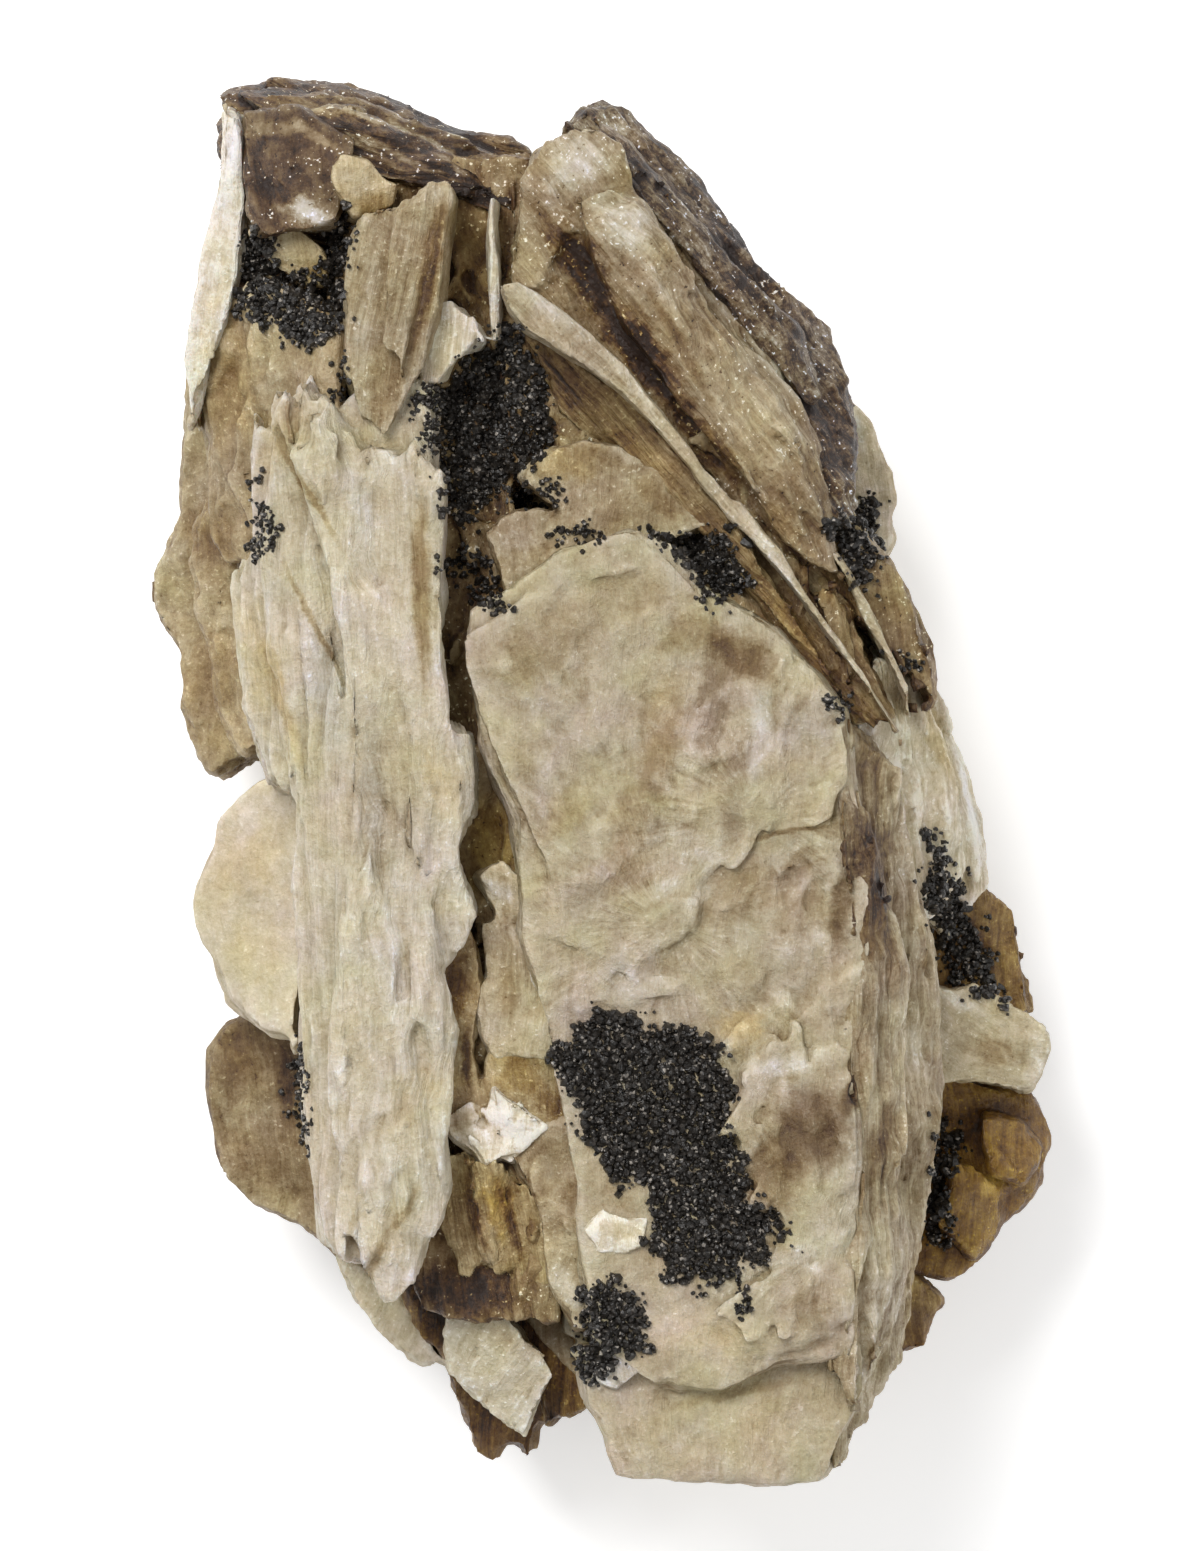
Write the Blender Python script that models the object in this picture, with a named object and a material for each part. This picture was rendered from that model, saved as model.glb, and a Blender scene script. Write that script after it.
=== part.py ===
"""Mica crystal: a cluster of intergrown mica books with crusts of small black crystals.

The specimen lies on its back. X runs across it, Y along it, Z up through its thickness, and the
origin is the middle of the flat underside. Lengths are in millimetres until MM turns them to metres.

A mica book is a stack of sheets that split flat, so each book here is one or more straight-sided
slabs whose outline is written as (x, y) points and whose top and underside are planes. A plane is
(height at the outline's middle, rise towards +X, rise towards +Y). The books overlap and grow
through each other, so they are united in one solid and cut off flat at the underside.
"""

import math
import random

import bmesh
import bpy
from mathutils import Matrix, Vector

MM = 0.001

UNDERSIDE = 0.0  # the flat face that the specimen rests on
BELOW = -2.0  # books that reach the underside start here, and are then cut off flat
CUT_DEPTH = 12.0
CUT_WIDTH = 300.0

MAIN_FACE = 38.0  # height of the wide cleavage face on the right
LEFT_SLAB = 40.5  # height of the long slab on the left
RIDGE_TOP = 43.6  # height of the thin blade that crosses the specimen
MIDDLE = 25.0  # where the upper books grow out of the lower ones
LEAF_OVERLAP = 0.35  # how far a leaf reaches into the one below it
LEAF_FOOT = 0.985  # size of a leaf's underside against its top

CRUST_GAP = 0.3  # clearance of a black crust in its pocket
POCKET_DEPTH = 1.0
CRUST_THICKNESS = 1.1
GRAIN_RADIUS = 0.75
GRAIN_LENGTH = 1.7
GRAIN_SPACING = 2.3

CREAM = (0.62, 0.52, 0.36, 1.0)
BLACK = (0.012, 0.012, 0.014, 1.0)


# ---------------------------------------------------------------- helpers


def clear_scene():
    for obj in list(bpy.data.objects):
        bpy.data.objects.remove(obj)


def middle_of(outline):
    xs = [x for x, _ in outline]
    ys = [y for _, y in outline]
    return sum(xs) / len(xs), sum(ys) / len(ys)


def height_at(plane, middle, point):
    height, east, north = plane
    return height + east * (point[0] - middle[0]) + north * (point[1] - middle[1])


def moved(outline, grow=1.0, turn=0.0, shift=(0.0, 0.0)):
    """The outline scaled by grow and turned by turn degrees about its middle, then shifted."""
    cx, cy = middle_of(outline)
    c, s = math.cos(math.radians(turn)) * grow, math.sin(math.radians(turn)) * grow
    return [
        (
            cx + c * (x - cx) - s * (y - cy) + shift[0],
            cy + s * (x - cx) + c * (y - cy) + shift[1],
        )
        for x, y in outline
    ]


def widened(outline, distance):
    """The outline with every side moved outwards by distance."""
    count = len(outline)
    area = sum(
        outline[i][0] * outline[(i + 1) % count][1] - outline[(i + 1) % count][0] * outline[i][1]
        for i in range(count)
    )
    side = 1.0 if area > 0 else -1.0
    result = []
    for i, point in enumerate(outline):
        here = Vector(point)
        before = (here - Vector(outline[i - 1])).normalized()
        after = (Vector(outline[(i + 1) % count]) - here).normalized()
        out = Vector((before.y + after.y, -before.x - after.x)) * side
        out.normalize()
        spread = max(0.5, out.dot(Vector((after.y, -after.x)) * side))
        result.append(tuple(here + out * (distance / spread)))
    return result


def object_from(name, bm):
    bmesh.ops.recalc_face_normals(bm, faces=bm.faces)
    mesh = bpy.data.meshes.new(name)
    bm.to_mesh(mesh)
    bm.free()
    obj = bpy.data.objects.new(name, mesh)
    bpy.context.scene.collection.objects.link(obj)
    return obj


def slab(name, outline, bottom, top, lean=(0.0, 0.0), foot=1.0):
    """A slab; lean moves its underside sideways, and foot is the size of that underside."""
    middle = middle_of(outline)
    bm = bmesh.new()
    low = []
    high = []
    for (x, y), (u, v) in zip(outline, moved(outline, foot, 0.0, lean)):
        low.append(bm.verts.new(Vector((u, v, height_at(bottom, middle, (u, v)))) * MM))
        high.append(bm.verts.new(Vector((x, y, height_at(top, middle, (x, y)))) * MM))
    bm.faces.new(reversed(low))
    bm.faces.new(high)
    for i in range(len(outline)):
        j = (i + 1) % len(outline)
        bm.faces.new((low[i], low[j], high[j], high[i]))
    return object_from(name, bm)


def book(name, outline, bottom, top, leaves, ragged=0.05, drift=(0.0, 0.0)):
    """A book split in leaves of uneven thickness, whose edges step in and out down its sides.

    ragged is how far the leaves' sizes differ, and drift moves the lowest one sideways.
    """
    rng = random.Random(name)
    cuts = [(i + rng.uniform(-0.22, 0.22)) / leaves for i in range(leaves + 1)]
    cuts[0], cuts[-1] = 0.0, 1.0
    slabs = []
    for i in range(leaves):
        planes = []
        for part in (cuts[i], cuts[i + 1]):
            planes.append(tuple(b + (t - b) * part for b, t in zip(bottom, top)))
        under = (planes[0][0] - LEAF_OVERLAP, *planes[0][1:]) if i else planes[0]
        depth = 1.0 - (cuts[i] + cuts[i + 1]) / 2 if i < leaves - 1 else 0.0
        size = 1.0 - (rng.uniform(0.2, 1.0) * ragged if i < leaves - 1 else 0.0)
        turn = rng.uniform(-1.6, 1.6) if i < leaves - 1 else 0.0
        shape = moved(outline, size, turn, (drift[0] * depth, drift[1] * depth))
        slabs.append(slab(f"{name}_{i}", shape, under, planes[1], foot=LEAF_FOOT))
    return slabs


def in_collection(name, objects):
    collection = bpy.data.collections.new(name)
    bpy.context.scene.collection.children.link(collection)
    for obj in objects:
        bpy.context.scene.collection.objects.unlink(obj)
        collection.objects.link(obj)
        obj.hide_render = True
        obj.display_type = "WIRE"
    return collection


def boolean(obj, operation, collection):
    cut = obj.modifiers.new(operation.title(), "BOOLEAN")
    cut.operation = operation
    cut.solver = "EXACT"
    cut.operand_type = "COLLECTION"
    cut.collection = collection


def drop_voids(bm):
    """Keeps the largest closed surface, and so fills any void shut in between the pieces."""
    left = set(bm.faces)
    surfaces = []
    while left:
        waiting = [left.pop()]
        surface = list(waiting)
        while waiting:
            for edge in waiting.pop().edges:
                beside = edge.link_faces if len(edge.link_faces) == 2 else ()
                for face in beside:
                    if face in left:
                        left.remove(face)
                        waiting.append(face)
                        surface.append(face)
        surfaces.append(surface)
    surfaces.sort(key=len)
    for surface in surfaces[:-1]:
        bmesh.ops.delete(bm, geom=surface, context="FACES")


def settle(obj, angle=0.002, merge=0.000002):
    """Replaces the object's mesh by the result of its modifiers, with flat faces kept whole."""
    graph = bpy.context.evaluated_depsgraph_get()
    mesh = bpy.data.meshes.new_from_object(obj.evaluated_get(graph))
    obj.modifiers.clear()
    bm = bmesh.new()
    bm.from_mesh(mesh)
    bmesh.ops.remove_doubles(bm, verts=bm.verts, dist=merge)
    drop_voids(bm)
    bmesh.ops.dissolve_limit(bm, angle_limit=angle, verts=bm.verts, edges=bm.edges)
    bmesh.ops.triangulate(bm, faces=bm.faces)
    bmesh.ops.dissolve_degenerate(bm, edges=bm.edges, dist=merge)
    bm.to_mesh(mesh)
    bm.free()
    obj.data = mesh


def remove_all(objects):
    for obj in objects:
        bpy.data.objects.remove(obj)


def material(name, colour, roughness, metallic=0.0):
    result = bpy.data.materials.new(name)
    result.use_nodes = True
    shader = result.node_tree.nodes["Principled BSDF"]
    shader.inputs["Base Color"].default_value = colour
    shader.inputs["Roughness"].default_value = roughness
    shader.inputs["Metallic"].default_value = metallic
    return result


# ---------------------------------------------------------------- the books


def lower_books():
    """The back half of the cluster, whose cleavage faces make the flat underside."""
    left = [
        (-25, 44), (-14, 49), (-8, 40), (-4, 24), (-5, 4), (-4, -20), (-8, -40),
        (-17, -39), (-22, -30), (-23, -4), (-27, 8), (-28, 30),
    ]
    right = [
        (-12, 20), (0, 26), (12, 20), (19, 8), (24, -8), (25, -28),
        (22, -44), (16, -52.6), (3, -52), (-6, -44), (-12, -34), (-14, -4),
    ]
    top = [
        (-16, 22), (-14, 45), (-4, 48.6), (5, 45.4), (12.6, 36), (18, 26), (18, 12), (0, 10),
    ]
    return [
        *book("left_back", left, (BELOW, 0, 0), (27.4, 0.04, -0.01), 5, 0.12, (3.0, 1.0)),
        *book("right_back", right, (BELOW - 0.3, 0, 0), (28.3, 0, -0.02), 6, 0.12, (-2.0, 1.5)),
        *book("top_back", top, (BELOW - 0.6, 0, 0), (26.6, -0.08, -0.03), 5, 0.14, (-1.5, -3.0)),
    ]


def main_book():
    """The wide book on the right: its cleavage face, the ledges on it and the block at its foot."""
    face = [
        (-9.6, 12), (-6.5, 14), (-3, 17.2), (2.5, 19), (6, 17.5), (8, 14.5), (14, 11),
        (19, 5.5), (19.2, -12), (20, -30), (19.4, -45.5), (13.5, -45.5), (4, -47.2),
        (-2.2, -43), (-2.6, -30), (-4.4, -21), (-6, -12), (-6.2, -3), (-9, 5),
    ]
    upper_ledge = [
        (-9.3, 11), (-6.2, 13.4), (-2.6, 16.5), (2.6, 18.2), (7.4, 13.9), (13.6, 10.2),
        (18.2, 5.2), (18.4, -9), (12, -13), (4, -15.5), (-4, -15), (-5.6, -3), (-8.4, 5),
    ]
    lower_ledge = [
        (10.8, -21), (18.6, -16), (19.2, -30), (18.6, -44), (13, -44.2), (9, -41.6),
        (16.2, -37.4), (14.6, -33.6), (12.4, -32.6), (11.6, -26),
    ]
    foot = [
        (-0.7, -44), (-0.7, -50.3), (1.2, -54), (2.5, -56), (10, -56.3), (18, -56.2), (19.4, -44),
    ]
    foot_tongue = [
        (4, -40), (15, -40), (16, -44), (13.6, -46.4), (10, -47.6), (6, -47.4), (3.6, -44.6),
    ]
    return [
        *book("main_face", face, (MIDDLE - 1.1, 0, 0), (MAIN_FACE, -0.04, 0.01), 2, 0.03),
        slab("main_upper_ledge", upper_ledge, (35.0, 0, 0), (MAIN_FACE + 1.5, -0.05, -0.02)),
        slab("main_lower_ledge", lower_ledge, (34.0, 0, 0), (MAIN_FACE + 0.1, -0.12, 0.02)),
        slab("main_foot_tongue", foot_tongue, (33.0, 0, 0), (MAIN_FACE - 0.4, -0.02, 0.05)),
        *book("main_foot", foot, (3.1, 0.05, -0.08), (34.6, -0.03, 0.06), 5, 0.1, (0, 2.0)),
    ]


def right_flank():
    """The steep side of the main book, with two folds that stand out of it."""
    slope = -1.9
    flank = [
        (19.4, 5), (24, 0.5), (25.2, -5), (27, -12), (28, -17), (28, -25), (27, -31),
        (26, -38), (24.4, -46.6), (20.8, -52), (19.4, -55.4), (19.2, -44), (19.8, -30), (19, -12),
    ]
    high_fold = [
        (19, -1), (21.5, -2.6), (24.6, -12), (25.4, -20), (24.4, -28), (22.4, -21), (21, -12),
    ]
    low_fold = [
        (20.6, -27), (23, -29), (24.6, -38), (23, -46), (20.4, -50), (20.8, -40),
    ]
    at_fold = MAIN_FACE - 0.4
    middle_x = middle_of(flank)[0]
    return [
        slab("flank", flank, (11.4, 0.1, 0.02), (at_fold + slope * (middle_x - 19.8), slope, 0.08)),
        *book("flank_foot", moved(flank, 0.93), (4.2, 0.1, 0.02), (14.4, -0.2, 0), 3, 0.1),
        slab("flank_high_fold", high_fold, (20.0, 0, 0), (34.2, -1.1, 0.05)),
        slab("flank_low_fold", low_fold, (18.0, 0, 0), (33.6, -1.3, 0.08)),
    ]


def left_slab():
    """The long fibrous slab on the left, arched across, with a ragged right edge."""
    crest = [
        (-24.2, 31.7), (-21.5, 30), (-19.6, 27.6), (-17.5, 26), (-13.8, 26.3), (-13.6, 18),
        (-14.5, 8), (-13, 4.6), (-11, 5), (-10.4, -1), (-12, -5), (-10.3, -12), (-12.9, -16.5),
        (-11.3, -21), (-13.8, -29), (-12.2, -34), (-16.5, -42), (-21.2, -38.6), (-21.6, -20),
        (-22, 0), (-22.4, 18),
    ]
    west = [
        (-26.5, 30.4), (-23.6, 31), (-21.4, 18), (-21, 0), (-20.8, -20), (-20.6, -38.6),
        (-23, -37), (-23.2, -26), (-23.5, -10), (-24.5, -1), (-28, 5), (-28.5, 11),
        (-29, 15), (-27, 18), (-27.4, 26),
    ]
    ribs = [
        [(-21, 26), (-18.4, 22), (-17.2, 4), (-17, -18), (-18.6, -20), (-20, 0), (-21.4, 16)],
        [(-16, 22), (-14.6, 20), (-15, 10), (-13.4, -3), (-14, -20), (-15.6, -12), (-16.2, 6)],
        [(-19.6, -16), (-16.6, -20), (-15, -30), (-17, -39), (-19.4, -36), (-20.4, -26)],
    ]
    lamella = [(-29, 15.5), (-27.6, 16), (-25.2, 9), (-23.4, 2.5), (-23, -2), (-26, -1), (-28.3, 6)]
    return [
        slab("left_crest", crest, (20.6, 0, 0), (LEFT_SLAB, 0.03, 0.01)),
        slab("left_west", west, (26.2, 0.6, 0), (37.4, 1.15, 0.0)),
        *book("left_west_foot", west, (12.4, 0, 0), (28.4, 0.5, 0.0), 3, 0.08, (1.5, 0)),
        slab("left_rib_0", ribs[0], (30, 0, 0), (LEFT_SLAB + 1.2, -0.12, 0.01)),
        slab("left_rib_1", ribs[1], (30, 0, 0), (LEFT_SLAB + 0.9, 0.06, 0.0)),
        slab("left_rib_2", ribs[2], (30, 0, 0), (LEFT_SLAB + 0.8, -0.1, 0.03)),
        slab("left_lamella", lamella, (26, 0, 0), (34.4, 0.6, 0.0)),
    ]


def left_leaves():
    """Leaves behind the left slab: a lobed one, a pale one and a round one."""
    lobed = [
        (-31.5, -1), (-33.5, 3.5), (-35, 10), (-36.5, 13.2), (-36.2, 16), (-34, 21), (-33.2, 28),
        (-32.1, 36), (-31, 42), (-25, 44), (-22, 30), (-22, 4),
    ]
    lobed_upper = [
        (-29.6, 2), (-31.6, 7), (-33.8, 13), (-33, 20), (-30.8, 27), (-31, 33), (-24, 34), (-24, 4),
    ]
    pale = [
        (-22, 1), (-27, 0.2), (-30.2, -3), (-31, -6), (-32.2, -10.2), (-31, -14.5),
        (-29.6, -17.8), (-26, -20.4), (-22, -21),
    ]
    round_leaf = [
        (-21, -18.5), (-28.3, -18.8), (-30.5, -19.7), (-31.8, -22), (-32, -25), (-31.8, -28),
        (-30.9, -31.3), (-28.5, -34.3), (-24.5, -36.5), (-20, -39.6),
    ]
    return [
        *book("lobed_leaf", lobed, (7.2, 0.1, 0), (19.0, 0.5, 0.03), 3, 0.1, (2.5, 0)),
        slab("lobed_leaf_upper", lobed_upper, (14.0, 0.4, 0), (23.5, 0.75, 0.05)),
        *book("pale_leaf", pale, (8.6, 0.1, 0), (24.6, 0.35, 0.04), 3, 0.12, (3.0, 0)),
        *book("round_leaf", round_leaf, (9.2, 0.0, -0.05), (17.4, 0.25, -0.08), 2, 0.1, (2.0, 0)),
        slab("round_leaf_step", moved(round_leaf, 0.8, 0, (2.0, -0.4)), (13, 0, 0), (20.2, 0.3, -0.1)),
    ]


def top_left_block():
    """Curved strata at the top left, seen edge on, with a dark block and a thin pale sheet."""
    outer = [
        (-30.5, 54.8), (-28, 55.4), (-25, 56.3), (-20, 56), (-16, 54.3), (-12, 52.2), (-7.5, 51.2),
        (-5, 49.5), (-7, 45.5), (-10, 47.6), (-16, 50.4), (-22, 53), (-29, 53),
    ]
    inner = [
        (-29.4, 53.6), (-22, 54), (-14, 51.4), (-7.4, 48.6), (-8.4, 44.6), (-12, 46.5),
        (-16.4, 48), (-20, 50), (-25, 51.4),
    ]
    block = [(-28.8, 52.6), (-24, 53), (-20, 50.6), (-21.4, 48), (-22, 44.6), (-28, 43.6), (-29.2, 47)]
    pale_sheet = [
        (-29.2, 52), (-28.2, 51.4), (-27.7, 44), (-28.8, 39.4), (-30.6, 35.4), (-32.4, 31.6),
        (-31.6, 40), (-30.4, 47),
    ]
    shelf = [(-29.4, 53.4), (-19, 49), (-11, 47), (-13, 30), (-22, 27), (-29.6, 33), (-29, 44)]
    nub = [(-21.5, 47.2), (-20, 48.7), (-17.6, 47.4), (-16.2, 46.6), (-17, 44.6), (-19.8, 44.2)]
    return [
        *book("strata_outer", outer, (7.4, 0, 0.2), (24.0, -0.05, -0.55), 3, 0.06, (1.0, -2.5)),
        slab("strata_inner", inner, (10.2, 0, 0.1), (30.0, -0.12, -0.4)),
        slab("strata_crest", moved(inner, 0.86, -1.0), (20, 0, 0), (32.0, -0.1, -0.15)),
        slab("dark_block", block, (11.6, 0, 0), (34.6, 0.25, -0.2), (1.0, -1.0)),
        slab("pale_sheet", pale_sheet, (12.6, 0.3, 0), (30.2, 0.3, 0.12), (1.6, 0)),
        *book("top_shelf", shelf, (6.6, 0.1, 0.05), (28.6, 0.06, 0.0), 4, 0.08, (1.5, -1.0)),
        slab("nub", nub, (20.0, 0, 0), (36.8, -0.1, 0.1)),
    ]


def column():
    """The upright tan book beside the black crust: two sheets bundles and a dark gap to its right."""
    whole = [
        (-18.6, 44.4), (-17, 46), (-13, 47.3), (-11.7, 47), (-11.6, 45), (-12.4, 41), (-14, 36),
        (-15, 30), (-16.9, 26.6), (-18.5, 27), (-20.2, 30), (-20, 36), (-19.5, 42),
    ]
    rib = [
        (-17.4, 44.8), (-14.2, 46.4), (-13.2, 45), (-14.2, 40), (-15.8, 33), (-16.6, 28.6),
        (-18.2, 31), (-18.2, 38),
    ]
    thin_sheet = [(-8.9, 45.6), (-8.0, 45.6), (-7.7, 35.2), (-8.7, 34.6)]
    patch = [(-12.6, 38), (-10, 36.5), (-8.8, 34.5), (-11, 33.2), (-12, 31.5), (-14.2, 31), (-14.4, 33)]
    return [
        slab("column", whole, (17.0, 0, 0), (40.6, 0.12, 0.04), foot=1.04),
        slab("column_rib", rib, (30.0, 0, 0), (42.6, -0.15, 0.05)),
        slab("thin_sheet", thin_sheet, (21.0, 0, 0), (37.0, 0, 0.1), (0.4, -0.3)),
        slab("patch", patch, (22.0, 0, 0), (35.4, 0.1, 0.05)),
    ]


def blade():
    """The thin blade that crosses from upper left to lower right, and a shorter one beside it."""
    band = [
        (-7.5, 38), (-4, 37.1), (-1, 34.9), (4, 29.6), (8, 24.4), (12, 19.6), (18, 11), (24.4, 3),
        (24, 1), (20, 6.6), (14, 14.3), (10, 19.8), (6, 25.3), (2, 29.2), (-3, 32.9), (-7.5, 35.8),
    ]
    second = [(19.4, 14.6), (20.6, 14.4), (22.6, 10), (24.8, 5.6), (24.9, 3.6), (22.6, 7.6)]
    return [
        slab("blade", band, (12.6, 0, 0), (RIDGE_TOP - 3.6, -0.26, 0.0), (1.2, 1.2)),
        slab("second_blade", second, (16.6, 0, 0), (31.6, -0.2, 0.1)),
    ]


def upper_right_book():
    """The book beyond the blade: sheets on edge, side by side, falling away to the right."""
    west_lobe = [
        (-5.3, 50.1), (-6.5, 47), (-7, 42), (-6.8, 38.3), (-4.4, 38.8), (-2.9, 43.6), (-0.8, 46.2),
        (-0.6, 50.8), (-3, 51.4),
    ]
    groove_wall = [
        (-4.4, 41), (-2, 36.8), (1, 33), (5, 28.6), (9, 23.6), (12, 24.6), (7, 29.6), (3, 35), (0, 40),
        (-1.6, 45),
    ]
    light = [
        (-0.8, 47), (3, 46.4), (5, 43.4), (8, 39.4), (10, 36.4), (14, 33.4), (16.2, 30),
        (16.2, 27), (15, 24.3), (12, 23.6), (8, 27.4), (5, 31), (3, 34), (0.2, 38.4),
    ]
    light_rib = [
        (0.4, 45.4), (2.6, 45), (6, 40), (9, 35), (13, 31), (14.6, 27.6), (12.4, 26.4), (8, 30), (3, 36.6),
    ]
    dark_band = [
        (-3, 51.4), (-1, 53.3), (0.8, 53.7), (2.2, 53), (5, 50.2), (7.5, 48.2), (10, 44.7), (11.9, 41.8),
        (14, 39.1), (18, 36.5), (19.7, 31.8), (20.4, 28), (20, 20), (15, 22), (16, 28), (12, 34),
        (7, 40), (3, 46), (-1, 49),
    ]
    dark_rib = [
        (0, 52), (3, 50), (6.4, 46), (10, 41.4), (12.6, 38), (16, 35), (17.6, 30), (16.4, 29), (12, 34.6),
        (8, 39.6), (4, 45), (0.4, 49.6),
    ]
    lobes = [
        (18, 31.4), (20.5, 30), (22, 28), (22.7, 26), (24, 24.2), (24.2, 22), (23.5, 21),
        (24.1, 19), (23.2, 17), (20, 15.4), (17, 21),
    ]
    tail = [(16, 22), (20, 20), (22, 17.2), (21.8, 15.4), (22.8, 12.2), (22.2, 11.2), (20, 9), (15, 16)]
    return [
        *book("west_lobe", west_lobe, (9.4, 0.1, 0.1), (36.6, 0.1, -0.1), 3, 0.1, (0.5, -2.0)),
        slab("groove_wall", groove_wall, (14.2, 0, 0), (31.4, -0.15, 0.0)),
        slab("light_slab", light, (13.2, 0, 0), (36.2, -0.42, 0.02)),
        slab("light_rib", light_rib, (24.0, 0, 0), (38.0, -0.35, 0.04)),
        *book("dark_band", dark_band, (8.4, 0.05, 0.1), (28.6, -0.82, -0.62), 3, 0.08, (-2, -2)),
        slab("dark_rib", dark_rib, (16.0, 0, 0), (31.0, -0.7, -0.4)),
        *book("right_lobes", lobes, (8.2, -0.2, 0), (17.8, -0.3, 0.1), 2, 0.12, (-1.0, 0)),
        *book("tail", tail, (5.6, 0, 0), (23.6, -0.5, 0.1), 3, 0.1, (-1.0, 0)),
    ]


def right_leaves():
    """Leaves that stick out behind the steep side: pale, brown, a pale cap and a lumpy amber one."""
    upper = [
        (22, 10.6), (24.5, 9.8), (26, 8.8), (27, 7.4), (28.2, 4.6), (30, -1), (30.8, -4),
        (31.3, -9.6), (28, -14), (23, -10), (20, 4),
    ]
    brown = [
        (26, -8), (31.2, -9.8), (33, -11), (33.7, -13), (34, -15.5), (35, -19.6), (31, -22), (24, -20),
    ]
    cap = [
        (25, -16.6), (28.2, -17.5), (30, -17), (34.5, -19.7), (36, -20.7), (36.5, -22.4), (36, -24.2),
        (35, -26.6), (28.5, -25), (25, -25),
    ]
    lump = [
        (24, -26), (30, -25.5), (35, -27), (36.3, -29.6), (35.8, -32.5), (34.4, -34.6), (32, -37),
        (30, -40), (28.6, -41), (25, -40),
    ]
    knobs = [
        [(30, -27), (34, -28), (35.4, -30), (33.6, -33), (30.6, -31.6)],
        [(28, -31), (31.6, -33.4), (32, -36), (29.6, -38.6), (27, -36)],
    ]
    sliver = [(22, -38), (25.2, -40), (27.5, -42.6), (26.5, -44), (26, -46), (24, -46.7), (21, -48)]
    return [
        *book("upper_leaf", upper, (7.0, -0.1, 0), (21.0, -0.7, 0.02), 3, 0.08, (-2.0, 0)),
        slab("upper_leaf_step", moved(upper, 0.82, -2.0, (-1.4, 0.2)), (15, 0, 0), (25.4, -0.9, 0.05)),
        *book("brown_leaf", brown, (6.4, -0.1, 0.1), (15.6, -0.4, 0.05), 2, 0.1, (-1.5, 0)),
        slab("cap_leaf", cap, (13.6, -0.2, 0), (21.4, -0.35, 0.12), foot=0.94),
        *book("amber_lump", lump, (6.4, -0.1, 0.05), (16.0, -0.3, -0.05), 2, 0.14, (-1.5, 0)),
        slab("amber_knob_0", knobs[0], (12, 0, 0), (18.0, -0.5, -0.2)),
        slab("amber_knob_1", knobs[1], (12, 0, 0), (18.4, -0.6, 0.1)),
        slab("sliver", sliver, (6.6, 0.1, 0.1), (19.8, -0.6, 0.1)),
    ]


def middle_shards():
    """Broken flakes between the two long books and under the blade."""
    upper = [
        (-6, 24.5), (-4, 26.3), (2, 26.6), (6, 24.5), (7.8, 22.4), (10, 19.8), (5, 18.8),
        (0, 20), (-2, 22.3),
    ]
    upper_step = [(-1.6, 25.6), (3.6, 25.4), (7, 22), (5, 20.2), (0.6, 21.4)]
    small = [(-10, 18.6), (-7, 20.3), (-4.4, 19.9), (-2.6, 18.4), (-6, 15.4), (-8.8, 16)]
    ledge = [(-4, 33), (0, 30.4), (4, 27), (10, 20), (14, 13), (8, 13), (0, 17), (-5, 20), (-6, 28)]
    chip = [(-10.4, -8.2), (-8, -7.4), (-6.2, -8.6), (-6, -11.2), (-8.6, -11.6)]
    wedge = [(-9.2, -11.6), (-6.9, -12), (-5.9, -18), (-8.6, -19.6), (-9.6, -15)]
    amber = [(-9, -21.6), (-5.5, -21.2), (-2.3, -26), (-4, -28.2), (-6.5, -28), (-8.6, -26)]
    flakes = [
        [(-12.2, -26), (-9, -26.8), (-7.4, -29), (-10.4, -30.4), (-13, -28.6)],
        [(-8.3, -26.8), (-5.6, -27.6), (-4.4, -29.6), (-7.6, -31), (-9.4, -29.4)],
    ]
    jagged = [
        (-7, -31.5), (-5, -29), (-1.8, -28.3), (0.4, -31), (0.6, -38), (0.4, -44), (-2.6, -44.6),
        (-3.6, -42.4), (-4.8, -39.6), (-5.6, -35),
    ]
    return [
        slab("shard_ledge", ledge, (20.4, 0, 0), (30.4, 0.1, -0.1)),
        slab("upper_shard", upper, (24, 0, 0), (36.6, -0.1, -0.08)),
        slab("upper_shard_step", upper_step, (30, 0, 0), (38.0, -0.15, -0.1)),
        slab("small_shard", small, (23, 0, 0), (35.2, 0.15, -0.1)),
        slab("pink_chip", chip, (22, 0, 0), (34.4, 0.2, 0.15)),
        slab("tan_wedge", wedge, (22, 0, 0), (33.0, 0.3, -0.1)),
        slab("amber_chip", amber, (22, 0, 0), (33.8, 0.15, 0.1)),
        slab("flake_0", flakes[0], (22, 0, 0), (35.6, -0.2, 0.1)),
        slab("flake_1", flakes[1], (22, 0, 0), (35.0, 0.1, 0.2)),
        slab("jagged_piece", jagged, (22, 0, 0), (36.2, 0.08, 0.02)),
    ]


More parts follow.
